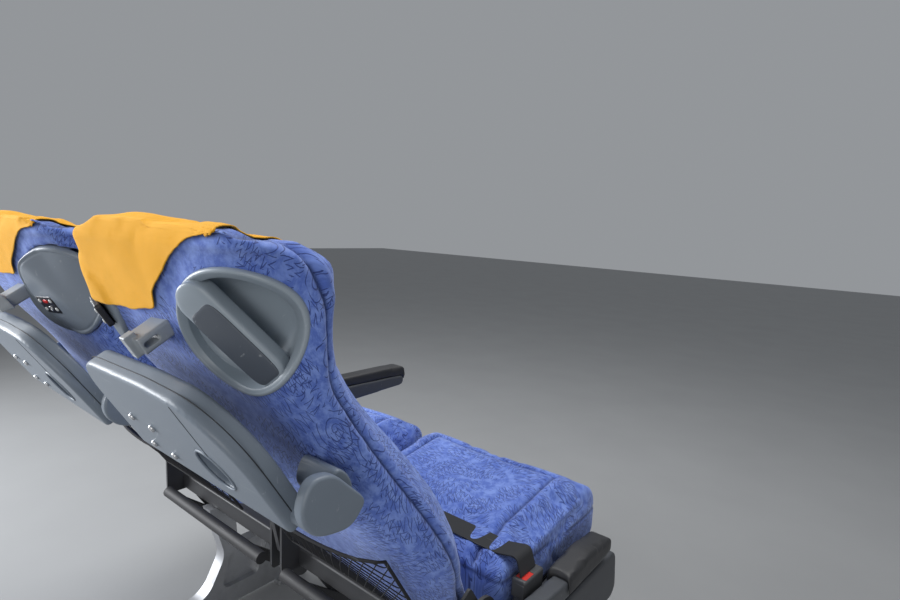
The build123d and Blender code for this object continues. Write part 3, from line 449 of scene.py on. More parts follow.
# %% Plastics, metals and rubber of the frame's own parts
FINISHES = {
    "grey_plastic": plastic("tray_grey", (0.175, 0.21, 0.255), 0.42, tone=0.10),
    "dark_bar": plastic("bar_slate", (0.085, 0.10, 0.125), 0.42, tone=0.10, scratches=0.6),
    "latch_grey": plastic("latch_grey", (0.30, 0.33, 0.36), 0.4, scratches=0.5),
    "socket_black": plastic("socket_black", (0.018, 0.018, 0.022), 0.38),
    "net_black": plastic("net_hem", (0.012, 0.012, 0.014), 0.85, grain=1500),
    "webbing_black": plastic("webbing", (0.02, 0.021, 0.024), 0.8, grain=1500),
    "buckle_silver": plastic("buckle_shell", (0.05, 0.052, 0.056), 0.4),
    "button_red": plastic("button_red", (0.62, 0.03, 0.02), 0.35),
    "retractor_black": plastic("retractor", (0.02, 0.02, 0.022), 0.5),
    "arm_pad_black": plastic("arm_pad", (0.022, 0.023, 0.026), 0.55, grain=500),
    "arm_plastic": plastic("arm_shell", (0.06, 0.065, 0.075), 0.45),
    "cover_plastic": plastic("side_cover", (0.05, 0.054, 0.062), 0.5),
    "footrest_black": plastic("footrest_rubber", (0.025, 0.025, 0.027), 0.6),
    "frame_steel": metal("painted_steel", (0.035, 0.036, 0.04), 0.42, metallic=0.0, dirt=0.15),
    "leg_aluminium": metal(
        "cast_aluminium", (0.55, 0.56, 0.58), 0.42, stretch=(1, 1, 6), dirt=0.25
    ),
}
slot_of = {row["node"]: row["material_slot"] for row in frame["record"]["subparts"]}
for node_name, node in frame["nodes"].items():
    finish = FINISHES.get(slot_of[node_name])
    if finish is not None:
        paint(node, finish)
print("finishes on", len(frame["nodes"]), "nodes")

# %% [markdown]
# The floor is a plain grey sheet, large enough to fill the view under and around the seat.

# %% Floor
FLOOR_HALF, FLOOR_HEIGHT = 14.0, -0.0005
floor = bpy.data.objects.new("floor", bpy.data.meshes.new("floor"))
signs = ((-1, -1), (1, -1), (1, 1), (-1, 1))
corners = [(x * FLOOR_HALF, y * FLOOR_HALF, FLOOR_HEIGHT) for x, y in signs]
floor.data.from_pydata(corners, [], [(0, 1, 2, 3)])
floor_paint, floor_tree, floor_shader = new_material("pale_floor")
speckle = noise(floor_tree, put(floor_tree, "ShaderNodeTexCoord").outputs["Object"], 3.0, 3.0, 0.5)
floor_colour = mix_colour(floor_tree, speckle, (0.30, 0.305, 0.31, 1), (0.34, 0.345, 0.35, 1))
floor_tree.links.new(floor_colour, floor_shader.inputs["Base Color"])
floor_shader.inputs["Roughness"].default_value = 0.8
floor.data.materials.append(floor_paint)
bpy.context.scene.collection.objects.link(floor)

# %% [markdown]
# Each back has its own measures: x across from its middle, s up along its rear face and n out of
# that face to the rear. The same three numbers place everything on a back here, so two functions
# go from them to the room and back again.

# %% The backs' own measures
SEATS = ("aisle", "window")
LEAN = {"aisle": math.radians(32.0), "window": math.radians(33.5)}
SEAT_X = {"aisle": 0.245, "window": -0.245}
HINGE_Y, HINGE_Z = -0.003, 0.400
HINGE_S, HINGE_N = 0.076, -0.048


def to_room(seat, across, up, out):
    """Room places of points given across, up and out of a back, as an array of rows."""
    across, up, out = np.broadcast_arrays(across, up, out)
    lean = LEAN[seat]
    rise, stand = up - HINGE_S, out - HINGE_N
    y = HINGE_Y - rise * math.sin(lean) - stand * math.cos(lean)
    z = HINGE_Z + rise * math.cos(lean) - stand * math.sin(lean)
    return np.stack([SEAT_X[seat] + across, y, z], axis=-1)


def to_back(seat, points):
    """The other way: across, up and out of a back for rows of room places."""
    lean = LEAN[seat]
    y, z = points[..., 1] - HINGE_Y, points[..., 2] - HINGE_Z
    up = HINGE_S - y * math.sin(lean) + z * math.cos(lean)
    out = HINGE_N - y * math.cos(lean) - z * math.sin(lean)
    return points[..., 0] - SEAT_X[seat], up, out


# %% [markdown]
# A new piece starts as a grid of points. This helper joins the grid into four-sided faces, closes
# it round either way where asked, and can cap its two ends with a fan to a middle point.

# %% Grid to mesh


def grid_piece(name, points, round_first=False, round_second=False, caps=False, uv=None):
    """Faces between neighbouring grid points. A cap is a fan from an end ring to its mean point."""
    rows, columns = points.shape[:2]
    index = np.arange(rows * columns).reshape(rows, columns)
    down = index if not round_first else np.vstack([index, index[:1]])
    full = down if not round_second else np.hstack([down, down[:, :1]])
    quads = np.stack([full[:-1, :-1], full[:-1, 1:], full[1:, 1:], full[1:, :-1]], axis=-1)
    vertices = points.reshape(-1, 3)
    faces = quads.reshape(-1, 4).tolist()
    if caps:
        ends = np.stack([points[0].mean(axis=0), points[-1].mean(axis=0)])
        first_middle, last_middle = len(vertices), len(vertices) + 1
        vertices = np.vstack([vertices, ends])
        ring = np.stack([full[0, :-1], full[0, 1:]], axis=-1)
        faces += [(first_middle, b, a) for a, b in ring.tolist()]
        ring = np.stack([full[-1, :-1], full[-1, 1:]], axis=-1)
        faces += [(last_middle, a, b) for a, b in ring.tolist()]
    mesh = bpy.data.meshes.new(name)
    mesh.from_pydata(vertices.tolist(), [], faces)
    mesh.update()
    if uv is not None:
        lay_flat(mesh, uv.reshape(-1, 2))
    mesh.shade_smooth()
    piece = bpy.data.objects.new(name, mesh)
    bpy.context.scene.collection.objects.link(piece)
    return piece


def lay_flat(mesh, flat):
    """UV map called cloth, from one flat place in metres for each vertex."""
    layer = mesh.uv_layers.get("cloth") or mesh.uv_layers.new(name="cloth")
    corners = np.empty(len(mesh.loops), np.int32)
    mesh.loops.foreach_get("vertex_index", corners)
    layer.data.foreach_set("uv", flat[corners].astype(np.float32).ravel())


def mark(mesh, name, values):
    """A number for each vertex, which a material can read."""
    layer = mesh.attributes.get(name) or mesh.attributes.new(name, "FLOAT", "POINT")
    layer.data.foreach_set("value", values.astype(np.float32))


def mesh_points(mesh):
    found = np.empty(len(mesh.vertices) * 3, np.float32)
    mesh.vertices.foreach_get("co", found)
    return found.reshape(-1, 3).astype(float)


def set_points(mesh, points):
    mesh.vertices.foreach_set("co", points.astype(np.float32).ravel())
    mesh.update()


def mesh_normals(mesh):
    found = np.empty(len(mesh.vertices) * 3, np.float32)
    mesh.vertex_normals.foreach_get("vector", found)
    return found.reshape(-1, 3).astype(float)


def apply_modifiers(piece):
    """The piece's mesh as its modifiers leave it, with none of them left on it."""
    graph = bpy.context.evaluated_depsgraph_get()
    made = bpy.data.meshes.new_from_object(piece.evaluated_get(graph))
    piece.modifiers.clear()
    old = piece.data
    made.name = old.name
    piece.data = made
    bpy.data.meshes.remove(old)
    return piece


def finish_piece(piece, material, body, slot, *nodes):
    """Material of a new piece, the body it rides on, and the nodes that it stands for. The slot is
    not used.
    """
    if material is not None:
        paint(piece, material)
    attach(piece, body)
    if nodes:
        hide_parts(*nodes)
    return piece


def join(name, made):
    """Several pieces as one object."""
    work = bmesh.new()
    for piece in made:
        work.from_mesh(piece.data)
        bpy.data.objects.remove(piece)
    mesh = bpy.data.meshes.new(name)
    work.to_mesh(mesh)
    work.free()
    mesh.shade_smooth()
    whole = bpy.data.objects.new(name, mesh)
    bpy.context.scene.collection.objects.link(whole)
    return whole


def close_ends(piece):
    """Open ends filled, and all faces turned outwards."""
    work = bmesh.new()
    work.from_mesh(piece.data)
    bmesh.ops.edgeloop_fill(work, edges=[edge for edge in work.edges if edge.is_boundary])
    bmesh.ops.recalc_face_normals(work, faces=work.faces)
    work.to_mesh(piece.data)
    work.free()
    piece.data.shade_smooth()


# %% [markdown]
# The rear face of a back is flat in its middle and rounds away to the seams at its sides, and the
# head leans forward over it. A few measured levels give the widths of the flat and of the whole
# back. A smooth curve through them gives every level between, and a quarter ellipse does the side.

# %% The rear face as a formula
LEVELS = np.array([58, 140, 200, 300, 420, 540, 590, 640, 720, 810]) / 1000
FLAT_LEFT = np.array([140, 142, 148, 165, 178, 165, 155, 148, 144, 142]) / 1000
FLAT_RIGHT = np.array([120, 122, 124, 128, 130, 98, 73, 60, 52, 46]) / 1000
LEFT_LIFT = np.array([0, 0, 0, 0, 0, 3, 9, 15, 18, 18]) / 1000
SEAM_DEPTH = np.array([52, 54, 55, 55, 54, 52, 62, 88, 98, 114]) / 1000
HALF_LEFT = {
    "aisle": np.array([178, 178, 181, 200, 218, 206, 201, 200, 200, 200]) / 1000,
    "window": np.array([206, 211, 233, 240, 222, 206, 201, 200, 200, 200]) / 1000,
}
HALF_RIGHT = {
    "aisle": np.array([206, 211, 233, 240, 206, 186, 184, 186, 186, 186]) / 1000,
    "window": np.array([178, 178, 181, 200, 206, 190, 185, 186, 186, 186]) / 1000,
}
CROWN_FROM, CROWN_RATE = 0.578, 1.02


def ramp(value, low, width):
    """Zero up to low, then evenly up to one over that width."""
    return np.clip((value - low) / width, 0, 1)


def bell(value, width, middle=0.0):
    """One at the middle, fading smoothly to both sides."""
    return np.exp(-(((value - middle) / width) ** 2))


def smooth_through(levels, values, wanted):
    """Natural cubic spline: bending is found from one linear system, then each span is a cubic."""
    gap, rise = np.diff(levels), np.diff(values)
    system = np.eye(len(levels))
    right = np.zeros(len(levels))
    inner = np.arange(1, len(levels) - 1)
    system[inner, inner - 1] = gap[:-1]
    system[inner, inner] = 2 * (gap[:-1] + gap[1:])
    system[inner, inner + 1] = gap[1:]
    right[inner] = 6 * (rise[1:] / gap[1:] - rise[:-1] / gap[:-1])
    bend = np.linalg.solve(system, right)
    wanted = np.clip(wanted, levels[0], levels[-1])
    k = np.clip(np.searchsorted(levels, wanted) - 1, 0, len(gap) - 1)
    t, h = wanted - levels[k], gap[k]
    slope = rise[k] / h - h * (2 * bend[k] + bend[k + 1]) / 6
    return values[k] + t * (slope + t * (bend[k] / 2 + t * (bend[k + 1] - bend[k]) / (6 * h)))


def rear_face(seat, across, up):
    """How far out the rear face is: the crown of the head, less a quarter ellipse at the sides."""
    across, up = np.broadcast_arrays(across, up)
    crown = CROWN_RATE * np.maximum(0, up - CROWN_FROM) ** 2
    flat_left = smooth_through(LEVELS, FLAT_LEFT, up)
    flat_right = smooth_through(LEVELS, FLAT_RIGHT, up)
    half_left = smooth_through(LEVELS, HALF_LEFT[seat], up)
    half_right = smooth_through(LEVELS, HALF_RIGHT[seat], up)
    seam = smooth_through(LEVELS, SEAM_DEPTH, up)
    lift = smooth_through(LEVELS, LEFT_LIFT, up)
    part = np.clip((across + flat_left) / (flat_left + flat_right), 0, 1)
    depth = crown - lift * (1 - part)
    over_right = (across - flat_right) / (half_right - flat_right)
    over_left = (-across - flat_left) / (half_left - flat_left)
    over = np.clip(np.where(across > 0, over_right, over_left), 0, 1)
    return -(depth + (seam - depth) * (1 - np.sqrt(1 - over**2)))


# %% [markdown]
# The oval at the upper right of a back lies on a plane of its own, turned out to the right, tilted
# up, and with its long axis spun in that plane. The bowl, its bar and the blister all use it.

# %% The oval's plane
OVAL_TURN, OVAL_TILT, OVAL_SPIN = math.radians(22.4), math.radians(7.6), math.radians(25.6)
OVAL_A, OVAL_B = 0.091, 0.076


def back_axes(seat):
    """A back's own directions: to its right, up along it and out of its rear face."""
    lean = LEAN[seat]
    upward = np.array([0, -math.sin(lean), math.cos(lean)])
    rear = np.array([0, -math.cos(lean), -math.sin(lean)])
    return np.array([1.0, 0, 0]), upward, rear


def oval_axes(seat):
    """Middle, long way, short way and outward way of the oval, as rows of numbers."""
    side, upward, rear = back_axes(seat)
    right = side * math.cos(OVAL_TURN) - rear * math.sin(OVAL_TURN)
    level = rear * math.cos(OVAL_TURN) + side * math.sin(OVAL_TURN)
    out = level * math.cos(OVAL_TILT) + upward * math.sin(OVAL_TILT)
    long_way = right * math.cos(OVAL_SPIN) + np.cross(out, right) * math.sin(OVAL_SPIN)
    middle = to_room(seat, 0.1085, 0.649, -0.0123)
    return middle, long_way, np.cross(out, long_way), out


def on_oval(seat, u, v, w):
    middle, long_way, short_way, out = oval_axes(seat)
    u, v, w = np.broadcast_arrays(u, v, w)
    return middle + u[..., None] * long_way + v[..., None] * short_way + w[..., None] * out


def over_oval(seat, points):
    """The other way: u, v and w of room places, then their size, 1 on the oval, and their inset."""
    middle, long_way, short_way, out = oval_axes(seat)
    u, v, w = ((points - middle) @ way for way in (long_way, short_way, out))
    size = np.hypot(u / OVAL_A, v / OVAL_B)
    return u, v, w, size, (1 - size) * (OVAL_A + OVAL_B) / 2


def oval_height(seat, u, v):
    """Height of the rear face over the oval's plane, found by stepping along the plane's normal."""
    rearward = oval_axes(seat)[3] @ back_axes(seat)[2]
    w = np.zeros(np.broadcast(u, v).shape)
    for _ in range(12):
        across, up, stand = to_back(seat, on_oval(seat, u, v, w))
        w = w + 0.8 * (rear_face(seat, across, up) - stand) / rearward
    return w


# %% [markdown]
# The cover of a back is cloth pulled over foam. It starts as a copy of the two solids of the back,
# melted into one even skin by a voxel remesh. Blender's Cloth then blows it up a little from
# inside, and how far a point may move is capped, so that it stays taut where hard parts sit on it.

# %% Padded pieces
BACK_VOXEL = 0.006
HEAD_TOP = {"aisle": 0.988, "window": 0.978}
HEAD_LEFT = 0.2005
HEAD_SINK = 0.017
CORNER_ROUND = 0.112
FRONT_FACE = -0.135
SEAM_LINE = np.array([(-54, 72), (-54, 98), (-52, 556), (-92, 644), (-98, 727), (60, 826)]) / 1000
SEAM_CORNERS = (0, 0, 0.070, 0.050, 0.022, 0)
GROOVE_DEPTH, GROOVE_WIDTH = 0.0055, 0.0040
ROLL_HEIGHT, ROLL_WIDTH, ROLL_FROM_SEAM = 0.0026, 0.0060, 0.0120
BROW_HEIGHT, BROW_WIDTH = 0.0020, 0.014


def merged_copy(name, *nodes):
    """One mesh from several solids of the frame, with the loose triangles' corners joined."""
    work = bmesh.new()
    for node in nodes:
        work.from_mesh(frame["nodes"][node].data)
    bmesh.ops.remove_doubles(work, verts=work.verts, dist=1e-5)
    mesh = bpy.data.meshes.new(name)
    work.to_mesh(mesh)
    work.free()
    piece = bpy.data.objects.new(name, mesh)
    bpy.context.scene.collection.objects.link(piece)
    return piece


def remesh(piece, voxel):
    change = piece.modifiers.new("skin", "REMESH")
    change.mode = "VOXEL"
    change.voxel_size = voxel
    return apply_modifiers(piece)


def even_out(piece, rounds, factor=0.5):
    change = piece.modifiers.new("even", "SMOOTH")
    change.iterations = rounds
    change.factor = factor
    return apply_modifiers(piece)


SWELL_FRAMES = 20
FABRIC = {
    "quality": 5,
    "mass": 0.3,
    "tension_stiffness": 12,
    "compression_stiffness": 12,
    "shear_stiffness": 4,
    "bending_stiffness": 0.4,
    "use_pressure": True,
}


def swell(piece, pressure, cap):
    """Cloth blown up from inside for some frames. Each point then moves by at most its own cap."""
    scene = bpy.context.scene
    start = mesh_points(piece.data)
    fabric = piece.modifiers.new("swell", "CLOTH")
    for name, value in FABRIC.items():
        setattr(fabric.settings, name, value)
    fabric.settings.uniform_pressure_force = pressure
    fabric.settings.effector_weights.gravity = 0
    fabric.point_cache.frame_start = 1
    fabric.point_cache.frame_end = SWELL_FRAMES
    for number in range(1, SWELL_FRAMES + 1):
        scene.frame_set(number)
    apply_modifiers(piece)
    scene.frame_set(1)
    move = mesh_points(piece.data) - start
    far = np.linalg.norm(move, axis=1)
    scale = np.minimum(1, cap / np.maximum(far, 1e-9))
    set_points(piece.data, start + move * scale[:, None])
    print(piece.name, "swells by up to", round(float((far * scale).max()) * 1000, 1), "mm")
    return piece


def subdivide(piece):
    change = piece.modifiers.new("fine", "SUBSURF")
    change.levels = change.render_levels = 1
    return apply_modifiers(piece)


def rounded_line(points, radii, steps=8):
    """Polyline whose corners are quadratic arcs that start and end one tangent length away."""
    made = [points[0]]
    for before, corner, after, radius in zip(points[:-2], points[1:-1], points[2:], radii[1:-1]):
        back, on = before - corner, after - corner
        back, on = back / np.linalg.norm(back), on / np.linalg.norm(on)
        half = math.acos(float(np.clip(back @ on, -1, 1))) / 2
        reach = radius / math.tan(half) if radius else 0.0
        t = np.linspace(0, 1, steps)[:, None]
        first, last = corner + back * reach, corner + on * reach
        made.extend((1 - t) ** 2 * first + 2 * t * (1 - t) * corner + t**2 * last)
    made.append(points[-1])
    return np.array(made)


def line_distance(points, line):
    """Distance of flat points to a polyline, and on which side they are (positive on its left)."""
    start, run = line[:-1], np.diff(line, axis=0)
    good = np.linalg.norm(run, axis=1) > 1e-9
    start, run = start[good], run[good]
    best = np.full(len(points), 1e9)
    side = np.zeros(len(points))
    for a, r in zip(start, run):
        t = np.clip((points - a) @ r / (r @ r), 0, 1)
        off = points - (a + t[:, None] * r)
        far = np.hypot(off[:, 0], off[:, 1])
        nearer = far < best
        best = np.where(nearer, far, best)
        side = np.where(nearer, np.sign(r[0] * off[:, 1] - r[1] * off[:, 0]), side)
    return best, side


BLUE_CLOTH = seat_cloth("seat_cloth", (0.20, 0.30, 0.70), (0.085, 0.150, 0.50))


def shape_head(piece, seat):
    """The top sinks forward, and its left corner is rounder than the frame's: a point outside the
    corner's circle is brought back along its radius onto the circle."""
    points = mesh_points(piece.data)
    out = to_back(seat, points)[2]
    high = ramp(points[:, 2], HEAD_TOP[seat] - 0.035, 0.035)
    points[:, 2] -= HEAD_SINK * high * ramp(-out, 0.038, 0.070)
    x = points[:, 0] - (SEAT_X[seat] - HEAD_LEFT + CORNER_ROUND)
    z = points[:, 2] - (HEAD_TOP[seat] - CORNER_ROUND)
    far = np.hypot(x, z)
    outside = (x < 0) & (z > 0) & (far > CORNER_ROUND)
    pull = np.where(outside, CORNER_ROUND / np.maximum(far, 1e-6), 1.0)
    points[:, 0] += x * (pull - 1)
    points[:, 2] += z * (pull - 1)
    set_points(piece.data, points)


def press_under_bowl(seat, points):
    """Cloth inside the ring lies under the bowl: it dives at the rim and stays below the floor."""
    u, v, w, size, inset = over_oval(seat, points)
    near = (inset > 0) & (w > -0.052)
    rim = oval_height(seat, u[near] / size[near], v[near] / size[near])
    dive = np.interp(inset[near], (0.0, 0.004, 0.008, 0.012), (0.0, -0.004, -0.030, -0.051))
    share = np.interp(inset[near], (0.004, 0.012), (1.0, 0.0))
    w[near] = np.minimum(w[near], dive + share * rim)
    return on_oval(seat, u, v, w)


def back_cover(seat):
    """Skin over shell and pad, blown up gently, with the sewn groove where rear and front meet."""
    hidden = (f"back_shell_{seat}", f"back_pad_{seat}")
    piece = remesh(merged_copy(f"back_cover_{seat}", *hidden), BACK_VOXEL)
    shape_head(piece, seat)
    even_out(piece, 4)
    points = mesh_points(piece.data)
    across, up, out = to_back(seat, points)
    u, v = over_oval(seat, points)[:2]
    from_oval = np.sqrt((u / (OVAL_A + 0.012)) ** 2 + (v / (OVAL_B + 0.012)) ** 2)
    rear = ramp(out - rear_face(seat, across, up), -0.030, 0.025)
    cap = 0.008 * (1 - rear) + 0.0018 * rear
    cap = cap * ramp(from_oval, 1, 0.25) * ramp(up, 0.12, 0.05)
    swell(piece, 4.0, cap)
    subdivide(piece)
    points, normals = mesh_points(piece.data), mesh_normals(piece.data)
    across, up, out = to_back(seat, points)
    line = rounded_line(SEAM_LINE, SEAM_CORNERS)
    far, side = line_distance(np.stack([out, up], axis=-1), line)
    groove = -GROOVE_DEPTH * bell(far, GROOVE_WIDTH)
    roll = ROLL_HEIGHT * bell(far, ROLL_WIDTH, ROLL_FROM_SEAM)
    brow = ramp(up, 0.735, 0.03) * ramp(across, 0.112, 0.02) * BROW_HEIGHT
    high = bell(far, BROW_WIDTH, ROLL_FROM_SEAM) * (side < 0) * brow
    points = points + normals * (groove + roll + high)[:, None]
    if seat == "aisle":
        points = press_under_bowl(seat, points)
    set_points(piece.data, points)
    # Painted shade along the sewn groove, read by the cloth's material
    mark(piece.data, "crease_shade", bell(far, 0.0026))
    # Flat places: across and up, with the way round the side added where the cloth turns forward
    across, up, out = to_back(seat, mesh_points(piece.data))
    is_rear = out > np.interp(up, line[:, 1], line[:, 0])
    below_face = np.maximum(0, rear_face(seat, across * 0, up) - out)
    round_side = np.where(is_rear, below_face, np.maximum(0, out - FRONT_FACE))
    over_top = 0.6 * np.maximum(0, -out - 0.10)
    flat = np.stack([across + np.sign(across) * round_side, up + over_top], axis=-1)
    lay_flat(piece.data, flat)
    piece.data.shade_smooth()
    finish_piece(piece, BLUE_CLOTH, f"back_{seat}", "seat_fabric", *hidden)
    print(piece.name, len(piece.data.polygons), "faces")
    return piece


backs = {seat: back_cover(seat) for seat in SEATS}

# %% [markdown]
# The seat cushions are thick foam under the same cloth, crowned on top and pulled in by seams. A
# sewn channel runs across behind the front roll, and one along each side bolster.

# %% Cushions
CUSHION_VOXEL = 0.006
CHANNEL_ACROSS_Y = 0.352
CHANNEL_SIDE_X = 0.158
PIPING_Z = 0.418
BELT_Y, BELT_HALF = 0.118, 0.024


def seat_cushion(seat):
    """Blown-up block, then channels: the surface sinks along three lines and puffs beside them."""
    piece = remesh(merged_copy(f"seat_cushion_{seat}", f"cushion_{seat}"), CUSHION_VOXEL)
    even_out(piece, 6)
    points, normals = mesh_points(piece.data), mesh_normals(piece.data)
    top = ramp(points[:, 2], 0.385, 0.05) * np.clip(normals[:, 2] + 0.25, 0, 1)
    belt = np.clip((np.abs(points[:, 1] - BELT_Y) - BELT_HALF) / 0.03, 0.1, 1)
    swell(piece, 4.0, 0.0025 + 0.013 * top * belt)
    subdivide(piece)
    points, normals = mesh_points(piece.data), mesh_normals(piece.data)
    x, y, z = points[:, 0] - SEAT_X[seat], points[:, 1], points[:, 2]
    facing_up = np.clip(normals[:, 2] * 2 - 0.4, 0, 1)
    inside = np.abs(x) < CHANNEL_SIDE_X
    ahead = np.abs(y - CHANNEL_ACROSS_Y - 0.012 * (x / 0.16) ** 2)
    beside = np.where(y < CHANNEL_ACROSS_Y + 0.012, np.abs(np.abs(x) - CHANNEL_SIDE_X), 1.0)
    across_line = np.where(inside, ahead, np.hypot(ahead, np.abs(x) - CHANNEL_SIDE_X))
    far = np.minimum(across_line, beside)
    puffed = 0.0025 * bell(far, 0.012, 0.022)
    sunk = -0.0065 * bell(far, 0.0055) + puffed
    upright = np.clip(1 - np.abs(normals[:, 2]) * 1.6, 0, 1)
    rim = bell(z, 0.0035, PIPING_Z) * upright
    set_points(piece.data, points + normals * (sunk * facing_up - 0.0022 * rim)[:, None])
    # Painted shade in the sewn channels and along the piping, read by the cloth's material
    mark(piece.data, "crease_shade", np.maximum(bell(far, 0.003) * facing_up, 0.8 * rim))
    points = mesh_points(piece.data)
    down = np.maximum(0, 0.45 - points[:, 2])
    sideways = np.sign(x) * down * (np.abs(x) > 0.19)
    forwards = down * (points[:, 1] > 0.40)
    lay_flat(piece.data, points[:, :2] + np.stack([sideways, forwards], axis=-1))
    piece.data.shade_smooth()
    finish_piece(piece, BLUE_CLOTH, "base", "seat_fabric", f"cushion_{seat}")
    return piece


for seat in SEATS:
    seat_cushion(seat)

# %% [markdown]
# A yellow ribbed cloth hangs over each head. It starts as a band of grid that goes up the rear,
# over the top and down the front, well outside the head, and a Shrinkwrap then lays it on the
# cloth below. Its rear edge is cut in a hollow curve round the oval, and it lifts off a little.

# %% Group: ribbed cloth
ribbed, ribbed_in, ribbed_out = new_group(
    "ribbed_cloth",
    [("Vector", VECTOR, None), ("Colour", COLOUR, (0.8, 0.45, 0.05, 1)), ("Rib", FLOAT, 0.0017)],
    [("Colour", COLOUR), ("Roughness", FLOAT), ("Height", FLOAT)],
)
flat_place = put(ribbed, "ShaderNodeSeparateXYZ", {"Vector": ribbed_in["Vector"]}).outputs
drift = noise(ribbed, ribbed_in["Vector"], 40.0, 2.0)
sway = times(ribbed, maths(ribbed, "SUBTRACT", drift, 0.5), 0.0016)
half_rib = times(ribbed, ribbed_in["Rib"], 0.5)
swayed = plus(ribbed, flat_place["X"], sway)
rib = maths(ribbed, "DIVIDE", maths(ribbed, "PINGPONG", swayed, half_rib), half_rib)
weft = maths(ribbed, "DIVIDE", maths(ribbed, "PINGPONG", flat_place["Y"], 0.0005), 0.0005)
worn = span(ribbed, noise(ribbed, ribbed_in["Vector"], 14.0, 4.0, 0.6), 0.35, 0.75)
# Painted light and shade on the ribs: the crest of each rib is lighter and the hollow between ribs
# darker. Worn patches are lighter as well.
value = plus(ribbed, 0.80, plus(ribbed, times(ribbed, rib, 0.22), times(ribbed, worn, 0.12)))
shaded = put(ribbed, "ShaderNodeHueSaturation", {"Color": ribbed_in["Colour"], "Value": value})
ribbed.links.new(shaded.outputs[0], ribbed_out["Colour"])
duller = maths(ribbed, "SUBTRACT", 0.92, times(ribbed, worn, 0.12))
ribbed.links.new(duller, ribbed_out["Roughness"])
ribbed.links.new(plus(ribbed, rib, times(ribbed, weft, 0.35)), ribbed_out["Height"])

cover_paint, cover_tree, cover_shader = new_material("yellow_cover_cloth")
cover_map = put(cover_tree, "ShaderNodeUVMap", uv_map="cloth").outputs[0]
cover_values = {"Vector": cover_map, "Colour": (0.93, 0.44, 0.02, 1)}
feed(cover_tree, cover_shader, use_group(cover_tree, ribbed, cover_values), 0.5, 0.0005)
cover_shader.inputs["Sheen Weight"].default_value = 0.25
cover_shader.inputs["Sheen Tint"].default_value = (1.0, 0.85, 0.5, 1)
cover_shader.inputs["Specular IOR Level"].default_value = 0.2

# %% Head covers
COVER_EDGE = {
    # across and up, in millimetres, of corners of the rear edge from left to right
    "aisle": [
        (-193, 696), (-172, 686), (-150, 681), (-110, 677), (-60, 675), (-12, 679), (-8, 682),
        (0, 700), (19, 713), (52, 738), (98, 762), (124, 773), (146, 781),
    ],
    "window": [
        (-193, 704), (-172, 697), (-120, 690), (-60, 685), (-12, 684), (-8, 688),
        (0, 700), (19, 713), (52, 737), (98, 758), (124, 767), (146, 774),
    ],
}
COVER_FRONT_S = 0.630
COVER_ROOM, COVER_LIFT, COVER_THICK = 0.010, 0.0030, 0.0014
DRAWN_IN = 0.035


